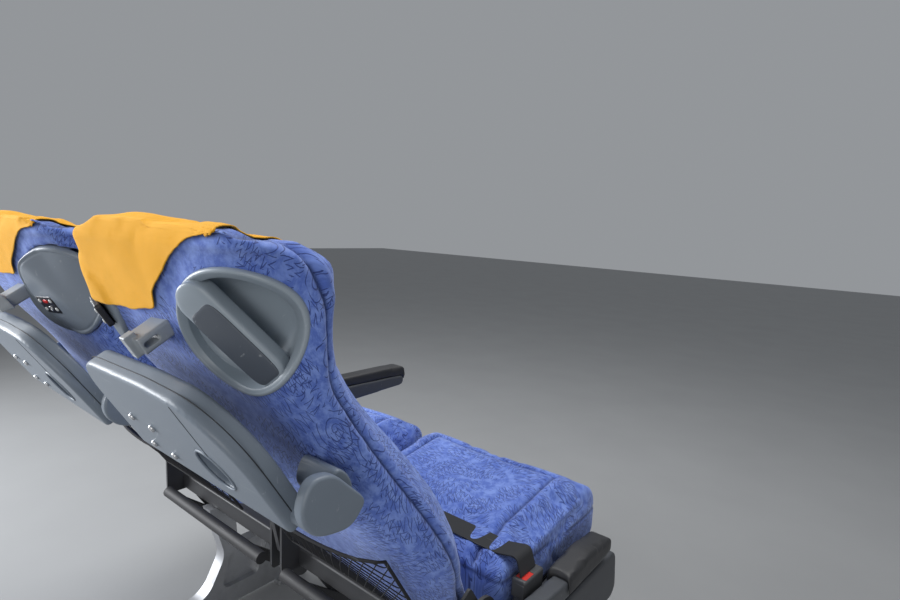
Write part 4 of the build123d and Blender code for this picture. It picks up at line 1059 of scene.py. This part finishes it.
def head_cover(seat):
    """Band of cloth: up the rear face, over the top and down the front, then laid on the head."""
    columns, rows = 110, 130
    edge = np.array(COVER_EDGE[seat]) / 1000
    across = np.linspace(edge[0, 0], edge[-1, 0], columns)
    lower = np.interp(across, edge[:, 0], edge[:, 1])
    kernel = np.hanning(5) / np.hanning(5).sum()
    lower = np.convolve(np.pad(lower, 2, mode="edge"), kernel, mode="valid")
    lower = lower + 0.0006 * np.sin(across * 130) + 0.0003 * np.sin(across * 410 + 1)
    lean = LEAN[seat]

    def level(out, height):
        """How far up the back a room height is, at some distance out of its face."""
        return HINGE_S + (height - HINGE_Z + (out - HINGE_N) * math.sin(lean)) / math.cos(lean)

    top = HEAD_TOP[seat] + COVER_ROOM
    over_top = [(out, level(out, top)) for out in (-0.026, -0.118)]
    down_front = [(-0.148, 0.700), (-0.146, COVER_FRONT_S)]
    path = rounded_line(np.array(over_top + down_front), (0, 0.030, 0.030, 0))
    t = np.linspace(0, 1, rows)
    points = np.empty((rows, columns, 3))
    length = np.empty((rows, columns))
    run = np.concatenate([[0], np.cumsum(np.hypot(*np.diff(path, axis=0).T))])
    for column in range(columns):
        rise = path[0, 1] - lower[column]
        reach = t * (rise + run[-1])
        up = np.where(reach < rise, lower[column] + reach, np.interp(reach - rise, run, path[:, 1]))
        face = rear_face(seat, across[column], up) + 0.014
        beyond = np.interp(reach - rise, run, path[:, 0])
        out = np.where(reach < rise, np.maximum(face, path[0, 0]), beyond)
        # Past the top edge the right side is drawn in little by little
        past_top = ramp(reach - rise, 0.01, 0.09)
        drawn_in = DRAWN_IN * past_top * np.clip(across[column] / edge[-1, 0], 0, 1) ** 2
        points[:, column] = to_room(seat, across[column] - drawn_in, up, out)
        length[:, column] = reach
    uv = np.stack([np.broadcast_to(across, length.shape), length], axis=-1)
    piece = grid_piece(f"head_cover_{seat}", points, uv=uv)
    under = merged_copy("under_cover", "socket_trim" if seat == "aisle" else "oval_dish")
    work = bmesh.new()
    work.from_mesh(under.data)
    work.from_mesh(backs[seat].data)
    work.to_mesh(under.data)
    work.free()
    remesh(under, 0.005)
    even_out(under, 10)
    wrap = piece.modifiers.new("lay", "SHRINKWRAP")
    wrap.target = under
    wrap.wrap_method = "NEAREST_SURFACEPOINT"
    wrap.wrap_mode = "ABOVE_SURFACE"
    wrap.offset = COVER_LIFT
    apply_modifiers(piece)
    bpy.data.objects.remove(under)
    even_out(piece, 2)
    laid, normals = mesh_points(piece.data), mesh_normals(piece.data)
    flat = uv.reshape(-1, 2)
    near_edge = np.exp(-flat[:, 1] / 0.014)
    side_edge = np.exp(-(flat[:, 0] - edge[0, 0]) / 0.010)
    wave = 0.5 + 0.5 * np.sin(flat[:, 0] * 96 + 0.6 * np.sin(flat[:, 1] * 60))
    soft = 0.0007 * np.sin(flat[:, 0] * 61 + flat[:, 1] * 23) * np.sin(flat[:, 1] * 47 + 1.3)
    lift = near_edge * (0.0012 + 0.0012 * wave) + side_edge * 0.0015 + soft + 0.0007
    inside_head = to_room(seat, 0, 0.70, -0.07)
    outward = np.sign((normals * (laid - inside_head)).sum(axis=1).mean())
    set_points(piece.data, laid + normals * (outward * lift)[:, None])
    wall = piece.modifiers.new("wall", "SOLIDIFY")
    wall.thickness = COVER_THICK
    wall.offset = 0
    apply_modifiers(piece)
    piece.data.shade_smooth()
    finish_piece(piece, cover_paint, f"back_{seat}", "cover_cloth", f"headrest_cover_{seat}")
    laid = laid.reshape(rows, columns, 3)
    return piece


for seat in SEATS:
    head_cover(seat)

# %% [markdown]
# The grab bowl is one moulding: a rolled rim that follows the curved back, a wall that narrows
# inwards, a soft corner and an oval floor. Its surface is a profile turned round the oval, where
# the rim's height is read off the rear face and fades out down the wall.

# %% Grab bowl
POCKET_INSET, POCKET_TOP, POCKET_SLOPE = 0.004, 0.025, 0.169
RIM_GREY = plastic("bowl_rim", (0.30, 0.35, 0.40), 0.36, tone=0.06)
# The wall is the rim's grey made darker: painted shade inside the bowl
SHADED_BOWL_GREY = plastic("bowl_wall_shaded", (0.27, 0.32, 0.37), 0.40, tone=0.10)
BOWL_PROFILE = np.array([
    # inset from the oval and height, both in millimetres, and share of the rim's own height in it
    (20.0, -46.2, 0), (16.5, -46.0, 0), (13.0, -43.0, 0), (7.0, -15.0, 0.5), (1.0, -5.0, 1),
    (-0.8, -1.2, 1), (-0.4, 2.0, 1), (1.0, 3.8, 1), (2.8, 4.4, 1), (4.8, 3.6, 1), (6.2, 1.4, 1),
    (7.4, -2.0, 1), (9.2, -7.0, 0.95), (11.8, -13.0, 0.8), (15.0, -20.0, 0.5), (19.0, -27.0, 0.25),
    (24.0, -33.5, 0.1), (30.0, -38.0, 0), (37.0, -40.5, 0), (45.0, -41.7, 0), (54.0, -42.2, 0),
    (64.0, -42.2, 0),
]) * (0.001, 0.001, 1)
WALL_CLEAR = 0.0018
WALL_STEPS = (9.5, 18)


def turned_oval(seat, profile):
    """Profile round the oval: (inset, height, share) rows, refined by a spline along them."""
    count = len(profile)
    steps = np.linspace(0, count - 1, (count - 1) * 3 + 1)
    at = np.arange(count, dtype=float)
    inset, height, share = (smooth_through(at, profile[:, k], steps) for k in range(3))
    angle = np.linspace(0, 2 * math.pi, 160, endpoint=False)
    rim = oval_height(seat, OVAL_A * np.cos(angle), OVAL_B * np.sin(angle))
    a = (OVAL_A - inset)[:, None]
    b = (OVAL_B - inset)[:, None]
    w = height[:, None] + np.clip(share, 0, 1)[:, None] * rim[None, :]
    # The wall stays inside the pocket of the frame, which narrows straight down from its mouth
    pocket = POCKET_INSET + POCKET_SLOPE * (POCKET_TOP - w) + WALL_CLEAR
    wall = (steps[:, None] > WALL_STEPS[0]) & (steps[:, None] < WALL_STEPS[1])
    a = np.where(wall, np.minimum(a, OVAL_A - pocket), a)
    b = np.where(wall, np.minimum(b, OVAL_B - pocket), b)
    return on_oval(seat, a * np.cos(angle), b * np.sin(angle), w)


def bowl_piece(seat):
    points = turned_oval(seat, BOWL_PROFILE)
    piece = grid_piece("bowl_moulding", points.transpose(1, 0, 2), round_first=True)
    close_ends(piece)
    piece.data.materials.append(SHADED_BOWL_GREY)
    piece.data.materials.append(RIM_GREY)
    centres = np.empty(len(piece.data.polygons) * 3, np.float32)
    piece.data.polygons.foreach_get("center", centres)
    u, v, w, size, inset = over_oval(seat, centres.reshape(-1, 3))
    rim = oval_height(seat, u / size, v / size)
    # Faces on the rim take the rim's grey, and the rest take the darker wall grey of painted shade
    on_rim = (inset < 0.0070) & (w > rim - 0.006)
    piece.data.polygons.foreach_set("material_index", on_rim.astype(np.int32))
    return finish_piece(piece, None, f"back_{seat}", "grey_plastic", "grab_bowl")


bowl_piece("aisle")

# %% [markdown]
# The grab bar is a flat bar of grey plastic with rounded long edges and round ends that run into
# the bowl's wall. Its sections are rounded rectangles placed along its length and drawn in at
# the two ends like the rim of a coin. A darker grip is let into its face.

# %% Grab bar
BAR_HALF_LENGTH, BAR_HALF_WIDTH, BAR_THICK, BAR_TOP = 0.0745, 0.0250, 0.022, 0.003
BAR_TURN = math.radians(2.0)
INSERT_HALF_WIDTH, INSERT_HALF_LENGTH, INSERT_SHIFT = 0.0205, 0.0540, 0.0105


def rounded_square(radius, count=48):
    """Ring of points from -1 to 1 both ways: a superellipse with corners of about that radius."""
    angle = np.linspace(0, 2 * math.pi, count, endpoint=False)
    power = 2 / (2.2 + 5.0 * (1 - radius))
    ways = np.cos(angle), np.sin(angle)
    return np.stack([np.sign(way) * np.abs(way) ** power for way in ways], axis=-1)


def on_bar(seat, u, v, w):
    """Places across and along the bar, which lies a little turned on the oval's plane."""
    turned_u = u * math.cos(BAR_TURN) - v * math.sin(BAR_TURN)
    turned_v = u * math.sin(BAR_TURN) + v * math.cos(BAR_TURN)
    return on_oval(seat, turned_u, turned_v, w)


def bar_piece(seat):
    """Section at each place along the bar; near an end its width follows a half circle."""
    along = np.sin(np.linspace(-1, 1, 61) * math.pi / 2) * BAR_HALF_LENGTH
    past = ramp(np.abs(along), BAR_HALF_LENGTH - BAR_HALF_WIDTH, BAR_HALF_WIDTH)
    narrow = np.sqrt(np.maximum(1 - past**2, 0.0)) * 0.985 + 0.015
    ring = rounded_square(0.35)
    u = ring[None, :, 0] * (BAR_HALF_WIDTH * narrow)[:, None]
    thin = 0.35 + 0.65 * np.sqrt(narrow)
    dome = 0.0012 * (1 - ring[:, 0] ** 2)
    half = BAR_THICK / 2
    w = BAR_TOP - half + ring[None, :, 1] * (half * thin)[:, None] + dome * (ring[:, 1] > 0)
    v = np.broadcast_to(along[:, None], u.shape)
    points = on_bar(seat, u, v, w)
    piece = grid_piece("grab_handle", points.transpose(1, 0, 2), round_first=True)
    close_ends(piece)
    return finish_piece(piece, RIM_GREY, f"back_{seat}", "dark_bar", "grab_bar")


def bar_insert(seat):
    """Dark grip let into the bar's face: rings of a rounded rectangle with a small round step."""
    size = np.array([1.0, 1.0, 0.985, 0.96, 0.9, 0.6, 0.3, 0.02])
    rise = np.array([-0.0030, 0.0004, 0.0011, 0.0015, 0.0017, 0.0020, 0.0022, 0.0022])
    ring = rounded_square(0.25, 96)
    u = ring[None, :, 0] * (INSERT_HALF_WIDTH * size)[:, None] - 0.0010
    v = ring[None, :, 1] * (INSERT_HALF_LENGTH * size)[:, None] - INSERT_SHIFT
    w = np.broadcast_to((BAR_TOP + rise)[:, None], u.shape)
    piece = grid_piece("grab_insert", on_bar(seat, u, v, w), round_second=True, caps=True)
    return finish_piece(piece, FINISHES["dark_bar"], f"back_{seat}", "dark_bar")


bar_piece("aisle")
bar_insert("aisle")

# %% [markdown]
# Moulded parts have no sharp edges, and light on their rounded edges is what makes them look real.
# Each one is a copy of its solid, melted by a fine voxel remesh and then smoothed, so that every
# edge is rounded by a few millimetres and the flat faces stay flat.

# %% Rounded mouldings


def rounded_moulding(name, nodes, voxel, rounds, material, body, slot):
    """Remeshed and smoothed copy that stands for its nodes."""
    piece = merged_copy(name, *nodes)
    remesh(piece, voxel)
    even_out(piece, rounds, 0.6)
    piece.data.shade_smooth()
    return finish_piece(piece, material or FINISHES[slot], body, slot, *nodes)


TRIM_GREY = plastic("trim_grey", (0.20, 0.235, 0.28), 0.42, tone=0.12)
ROUNDED = [
    # name, nodes, voxel, rounds of smoothing, finish where it isn't the slot's own, body, slot
    ("trim_moulding", ["socket_trim"], 0.0024, 5, TRIM_GREY, "back_aisle", "grey_plastic"),
    ("side_cover_aisle", ["aisle_side_cover"], 0.0030, 6, None, "base", "cover_plastic"),
    ("side_cover_wall", ["wall_side_cover"], 0.0030, 6, None, "base", "cover_plastic"),
    ("arm_shell_aisle", ["aisle_armrest"], 0.0026, 6, None, "aisle_arm", "arm_plastic"),
    ("arm_shell_centre", ["centre_armrest"], 0.0026, 6, None, "centre_arm", "arm_plastic"),
]
for seat in SEATS:
    back = f"back_{seat}"
    ROUNDED += [
        (f"tray_shells_{seat}", [f"tray_{seat}"], 0.0024, 3, None, f"tray_{seat}", "grey_plastic"),
        (f"latch_{seat}_moulding", [f"tray_latch_{seat}"], 0.0011, 4, None, back, "latch_grey"),
        (f"socket_face_{seat}", [f"socket_plate_{seat}"], 0.0011, 4, None, back, "socket_black"),
        (f"buckle_{seat}", [f"belt_buckle_{seat}"], 0.0012, 4, None, "base", "buckle_silver"),
    ]
mouldings = {row[0]: rounded_moulding(*row) for row in ROUNDED}
print("rounded mouldings", len(mouldings))

# %% [markdown]
# The arm pads are foam under a grained black skin, so they are padded pieces too: a small swell,
# and a fine leather grain from Voronoi cells.

# %% Arm pads
skin, skin_tree, skin_shader = new_material("arm_pad_skin")
skin_place = put(skin_tree, "ShaderNodeTexCoord").outputs["Object"]
pebbles = put(
    skin_tree, "ShaderNodeTexVoronoi", {"Vector": skin_place, "Scale": 520.0}, feature="SMOOTH_F1"
)
polish = noise(skin_tree, skin_place, 16.0, 3.0, 0.6)
skin_values = {
    "Colour": mix_colour(skin_tree, polish, (0.012, 0.012, 0.014, 1), (0.035, 0.036, 0.04, 1)),
    "Roughness": span(skin_tree, polish, 0.3, 0.7, 0.42, 0.62),
    "Height": pebbles.outputs["Distance"],
}
feed(skin_tree, skin_shader, skin_values, 0.4, 0.0005)

for name, node, body in (
    ("arm_cushion_aisle", "aisle_armrest_pad", "aisle_arm"),
    ("arm_cushion_centre", "centre_armrest_pad", "centre_arm"),
):
    pad = remesh(merged_copy(name, node), 0.0036)
    even_out(pad, 5)
    swell(pad, 3.0, np.full(len(pad.data.vertices), 0.0015))
    subdivide(pad)
    pad.data.shade_smooth()
    finish_piece(pad, skin, body, "arm_pad_black", node)

# %% [markdown]
# The window seat has a closed blister in place of the bowl: two facets that meet in a soft ridge,
# with a rolled edge on the cloth. It is a height over the oval, read at rings that close up on the
# middle: the higher of a soft roof and the back's own face, brought down at the rim.

# %% Blister
DISH_RISE, DISH_SLOPE, DISH_LIP = 0.008, 0.30, 0.004
RIDGE_SOFT = 0.010
DISH_SKIN, DISH_BEND = 0.0012, 0.003


def blister_roof(u):
    return DISH_RISE - DISH_SLOPE * (np.sqrt(u**2 + RIDGE_SOFT**2) - RIDGE_SOFT)


def blister(seat):
    """Rings of the oval from its middle to its edge; then a skirt and a floor that close it."""
    size = np.sin(np.linspace(0.004, 1, 60) * math.pi / 2)
    angle = np.linspace(0, 2 * math.pi, 180, endpoint=False)
    u = OVAL_A * size[:, None] * np.cos(angle)
    v = OVAL_B * size[:, None] * np.sin(angle)
    face = oval_height(seat, u, v)
    rim = face + DISH_LIP
    roof = blister_roof(u)
    inner = face + DISH_SKIN
    # Smooth maximum of two heights, and the rolled edge back up to the rim
    top = 0.5 * (roof + inner + np.sqrt((roof - inner) ** 2 + DISH_BEND**2) - DISH_BEND * 0.4)
    near_rim = ramp(size[:, None], 0.86, 0.07)
    top = top + np.maximum(rim - top, 0) * near_rim * near_rim * (3 - 2 * near_rim)
    from_edge = (1 - size)[:, None] * (OVAL_A + OVAL_B) / 2
    groove = -0.0011 * bell(from_edge, 0.0022, 0.0085)
    rounding = np.sqrt(1 - (1 - np.clip(from_edge / 0.0045, 0, 1)) ** 2)
    w = face - 0.003 + (top + groove - face + 0.003) * rounding
    rings = [on_oval(seat, u, v, w)]
    for inset, drop in ((0.0, -0.010), (0.004, -0.030)):
        a, b = (OVAL_A - inset) * np.cos(angle), (OVAL_B - inset) * np.sin(angle)
        rings.append(on_oval(seat, a, b, np.full(len(angle), drop))[None])
    points = np.concatenate(rings)
    piece = grid_piece("blister_moulding", points, round_second=True, caps=True)
    return finish_piece(piece, TRIM_GREY, f"back_{seat}", "grey_plastic", "oval_dish")


blister("window")

# %% [markdown]
# Each socket plate carries four white round buttons and a red window over the jack. They are small
# domes: a profile turned about an axis that stands on the plate.

# %% Socket buttons
PLATE_TURN, PLATE_LEFT = math.radians(-15), 0.050


def socket_axes(seat):
    """Middle of the plate's outer face, its long way, its short way and its outward way."""
    side, upward, rear = back_axes(seat)
    if seat == "aisle":
        out = rear * math.cos(PLATE_TURN) + side * math.sin(PLATE_TURN)
        long_way = side * math.cos(PLATE_TURN) - rear * math.sin(PLATE_TURN)
        return to_room(seat, -0.155, 0.662, 0.0125) + out * 0.008, long_way, upward, out
    middle, long_way, short_way, normal = oval_axes(seat)
    out = normal - long_way * DISH_SLOPE
    out = out / np.linalg.norm(out)
    along = long_way + normal * DISH_SLOPE
    along = along / np.linalg.norm(along)
    level = along * math.cos(-OVAL_SPIN) + short_way * math.sin(-OVAL_SPIN)
    height = DISH_RISE - DISH_SLOPE * PLATE_LEFT
    place = middle - long_way * PLATE_LEFT + short_way * 0.004 + normal * height + out * 0.003
    return place, level, np.cross(out, level), out


DOME = np.array([(1.0, -0.6), (1.0, 0.5), (0.93, 0.82), (0.75, 1.0), (0.45, 1.1), (0.02, 1.14)])
RING = np.array([
    (1.0, -0.6), (1.0, 0.5), (0.9, 1.0), (0.6, 1.0), (0.5, 0.4), (0.48, -0.5), (0.02, -0.5),
])


def domes(name, places, axes, radius, height, profile=DOME, flatten=1.0):
    """One mesh of several domes: the profile's radius round the axis and its height along it."""
    middle, long_way, short_way, out = axes
    angle = np.linspace(0, 2 * math.pi, 28, endpoint=False)
    made = []
    for x, y in places:
        ring = profile[:, 0, None] * radius
        points = (
            middle
            + (x + ring * np.cos(angle))[..., None] * long_way
            + (y + flatten * ring * np.sin(angle))[..., None] * short_way
            + (profile[:, 1, None] * height)[..., None] * out
        )
        made.append(grid_piece(name, points, round_second=True, caps=True))
    return join(name, made)


BUTTON_WHITE = plastic("button_white", (0.72, 0.74, 0.74), 0.35, tone=0.06)
SOCKET_RED = plastic("socket_red", (0.70, 0.02, 0.015), 0.3, tone=0.06)
BUTTONS = [(-0.019, 0.009), (-0.019, -0.008), (0.019, 0.009), (0.019, -0.008)]
STOP_METAL = metal("stop_metal", (0.62, 0.63, 0.65), 0.28, dirt=0.1)
for seat in SEATS:
    axes = socket_axes(seat)
    buttons = domes(f"socket_buttons_{seat}", BUTTONS, axes, 0.0036, 0.0016)
    finish_piece(buttons, BUTTON_WHITE, f"back_{seat}", "socket_black")
    display = domes(f"socket_light_{seat}", [(0.0, 0.008)], axes, 0.0085, 0.0010, flatten=0.45)
    finish_piece(display, SOCKET_RED, f"back_{seat}", "button_red")
    jack = domes(f"socket_jack_{seat}", [(0.0, -0.007)], axes, 0.0052, 0.0016, profile=RING)
    finish_piece(jack, STOP_METAL, f"back_{seat}", "socket_black")


# %% [markdown]
# Each tray hangs between a broad ear on its right and a slim lug on its left. Seen from the side
# the ear is a drop. Its outline is a closed smooth curve through a few measured corners, carried
# across the ear and drawn in at both ends, so that all edges are round.

# %% Tray ears
# Corners of each outline, out and up in millimetres
EAR = [
    (38, 514), (24, 508), (12, 494), (4, 466), (-2, 438), (8, 428),
    (27, 425), (46, 436), (62, 452), (69, 470), (67, 490), (55, 506),
]
NECK = [(-2, 482), (-6, 465), (-2, 448), (8, 441), (20, 444), (27, 458), (24, 474), (8, 486)]
PIN = [(57, 473), (47, 463), (57, 453), (67, 463)]
LUG = [
    (-58, 480), (-60, 464), (-58, 448), (0, 446), (56, 448),
    (70, 456), (71, 470), (58, 479), (0, 481),
]


def closed_curve(corners):
    """Smooth ring through the corners: cubics, with the ring repeated at both of its ends."""
    ring = np.vstack([corners, corners, corners]) / 1000
    steps = np.linspace(len(corners), 2 * len(corners), 96, endpoint=False)
    at = np.arange(len(ring), dtype=float)
    return np.stack([smooth_through(at, ring[:, k], steps) for k in (0, 1)], axis=-1)


def pillow(name, seat, outline, left, right, round_by):
    """Outline carried from left to right; near both ends it is drawn in by a quarter circle."""
    ring = closed_curve(outline)
    middle = ring.mean(axis=0)
    turn = np.linspace(0, math.pi / 2, 7)
    inset = np.concatenate([1 - np.sin(turn), 1 - np.sin(turn[::-1])]) * round_by
    run = round_by * (1 - np.cos(turn))
    across = np.concatenate([left + run, right - run[::-1]])
    size = np.linalg.norm(ring - middle, axis=1)
    scale = 1 - inset[:, None] / size[None, :]
    out = middle[0] + (ring[:, 0] - middle[0]) * scale
    up = middle[1] + (ring[:, 1] - middle[1]) * scale
    return grid_piece(name, to_room(seat, across[:, None], up, out), round_second=True, caps=True)


for seat in SEATS:
    name = f"tray_ears_{seat}"
    pillows = [
        pillow(name, seat, EAR, 0.199, 0.216, 0.0045),
        pillow(name, seat, NECK, 0.140, 0.202, 0.004),
        pillow(name, seat, PIN, 0.172, 0.203, 0.002),
        pillow(name, seat, LUG, -0.209, -0.202, 0.0022),
    ]
    grey = FINISHES["grey_plastic"]
    finish_piece(join(name, pillows), grey, f"back_{seat}", "grey_plastic", f"tray_hinge_{seat}")

# %% [markdown]
# The outer face of a tray has four bright stops, a rounded rim round the cup hole, the seam where
# its two shells meet, and one parting line from the top edge down to the cup hole.

# %% Tray details
TRAY_FACE_N, TRAY_SEAM_N = 0.074, 0.060
CUP_MIDDLE, CUP_RIM_RADIUS = (0.075, 0.511), 0.0318
STOPS = [(-0.120, 0.531), (-0.060, 0.531), (-0.120, 0.477), (-0.060, 0.477)]
TRAY_OUTLINE = np.array([(-200, 446), (-196, 620), (20, 630), (174, 622), (176, 446)]) / 1000
TRAY_ROUND = (0.006, 0.078, 0.300, 0.100, 0.006)
PARTING_X, PARTING_TOP, PARTING_LOW = 0.088, 0.620, 0.5405
LINE_DARK = plastic("shut_line", (0.02, 0.024, 0.03), 0.7, tone=0.05)


def carried_ring(name, path, normals, profile, closed=True):
    """Profile of (sideways, outward) places carried along a path in the room. Outward is the way
    given in normals, and sideways is square to that and to the path."""
    normals = np.broadcast_to(normals, path.shape)
    ahead = np.roll(path, -1, axis=0) - np.roll(path, 1, axis=0)
    if not closed:
        ahead[0], ahead[-1] = path[1] - path[0], path[-1] - path[-2]
    ahead = ahead / np.linalg.norm(ahead, axis=1)[:, None]
    side = np.cross(ahead, normals)
    side = side / np.linalg.norm(side, axis=1)[:, None]
    sideways = profile[None, :, :1] * side[:, None]
    points = path[:, None] + sideways + profile[None, :, 1:] * normals[:, None]
    return grid_piece(name, points, round_first=closed, round_second=True, caps=not closed)


def circle_profile(radius, count=8):
    angle = np.linspace(0, 2 * math.pi, count, endpoint=False)
    return radius * np.stack([np.cos(angle), np.sin(angle)], axis=-1)


for seat in SEATS:
    side, upward, rear = back_axes(seat)
    body, grey = f"tray_{seat}", FINISHES["grey_plastic"]
    face = (to_room(seat, 0, 0, TRAY_FACE_N), side, upward, rear)
    stops = domes(f"tray_stops_{seat}", STOPS, face, 0.0056, 0.0042)
    finish_piece(stops, STOP_METAL, body, "grey_plastic")
    angle = np.linspace(0, 2 * math.pi, 96, endpoint=False)
    cup_x = CUP_MIDDLE[0] + CUP_RIM_RADIUS * np.cos(angle)
    cup = to_room(seat, cup_x, CUP_MIDDLE[1] + CUP_RIM_RADIUS * np.sin(angle), TRAY_FACE_N)
    rim = carried_ring(f"cup_rim_{seat}", cup, rear, circle_profile(0.0017, 10))
    finish_piece(rim, grey, body, "grey_plastic")
    # The outline starts and ends in the middle of its last side, so that all five corners are round
    around = np.vstack([TRAY_OUTLINE[-1:], TRAY_OUTLINE, TRAY_OUTLINE[:1]])
    outline = rounded_line(around, (0, *TRAY_ROUND, 0), 14)[1:-1]
    seam = to_room(seat, outline[:, 0], outline[:, 1], TRAY_SEAM_N)
    shut = carried_ring(f"tray_seam_{seat}", seam, rear, circle_profile(0.0007, 6))
    up = np.linspace(PARTING_TOP, PARTING_LOW, 24)
    parting = to_room(seat, np.full(24, PARTING_X), up, TRAY_FACE_N)
    thin = circle_profile(0.0005, 6)
    line = carried_ring(f"tray_parting_{seat}", parting, rear, thin, closed=False)
    finish_piece(join(f"tray_lines_{seat}", [shut, line]), LINE_DARK, body, "grey_plastic")


# %% [markdown]
# The magazine net is thin cord in diamonds. They lie on a surface that stands a few millimetres off
# the cloth below and bags out to the mouth, and hems of thicker cord run round it.

# %% Magazine nets
NET_LEFT, NET_RIGHT, NET_LOW, NET_TOP = -0.142, 0.184, 0.122, 0.300
NET_CORNERS = [
    (NET_LEFT, NET_TOP), (NET_RIGHT, NET_TOP), (NET_RIGHT, NET_LOW), (NET_LEFT, NET_LOW),
    (NET_LEFT, NET_TOP),
]
NET_PITCH, NET_SLOPE = 0.019, 0.72
NET_STANDS, NET_BAGS = 0.006, 0.028
CORD_RADIUS, HEM_RADIUS = 0.0009, 0.0026
NET_CORD = plastic("net_cord", (0.012, 0.012, 0.014), 0.85, grain=1500)


def on_net(seat, across, up):
    """The bag of the net: flat at its hems, out by its mouth in the middle."""
    part = ramp(up, NET_LOW, NET_TOP - NET_LOW)
    place = ramp(across, NET_LEFT, NET_RIGHT - NET_LEFT)
    return to_room(seat, across, up, NET_STANDS + NET_BAGS * part * np.sin(math.pi * place) ** 0.45)


def strands(seat):
    """Both families of slanting cords, each cut to the part of it that lies between the hems."""
    found = []
    for lean_way in (1, -1):
        for start in np.arange(NET_LEFT - 0.30, NET_RIGHT + 0.30, NET_PITCH):
            up = np.linspace(NET_LOW, NET_TOP, 60)
            across = start + lean_way * NET_SLOPE * (up - NET_LOW)
            inside = (across > NET_LEFT) & (across < NET_RIGHT)
            if inside.sum() > 4:
                found.append(on_net(seat, across[inside], up[inside]))
    return found


for seat in SEATS:
    name = f"net_{seat}"
    outward = back_axes(seat)[2]
    thin, thick = circle_profile(CORD_RADIUS, 5), circle_profile(HEM_RADIUS, 8)
    cords = [carried_ring(name, path, outward, thin, closed=False) for path in strands(seat)]
    hem = rounded_line(np.array(NET_CORNERS), (0, 0.006, 0.006, 0.006, 0), 6)
    steps = np.linspace(0, 1, 12)[:-1, None]
    sides = [(a, b) for a, b in zip(hem[:-1], hem[1:]) if np.linalg.norm(b - a) > 1e-5]
    fine = np.concatenate([a + (b - a) * steps for a, b in sides])
    cords.append(carried_ring(name, on_net(seat, fine[:, 0], fine[:, 1]), outward, thick))
    finish_piece(join(name, cords), NET_CORD, f"back_{seat}", "net_black", f"magazine_net_{seat}")
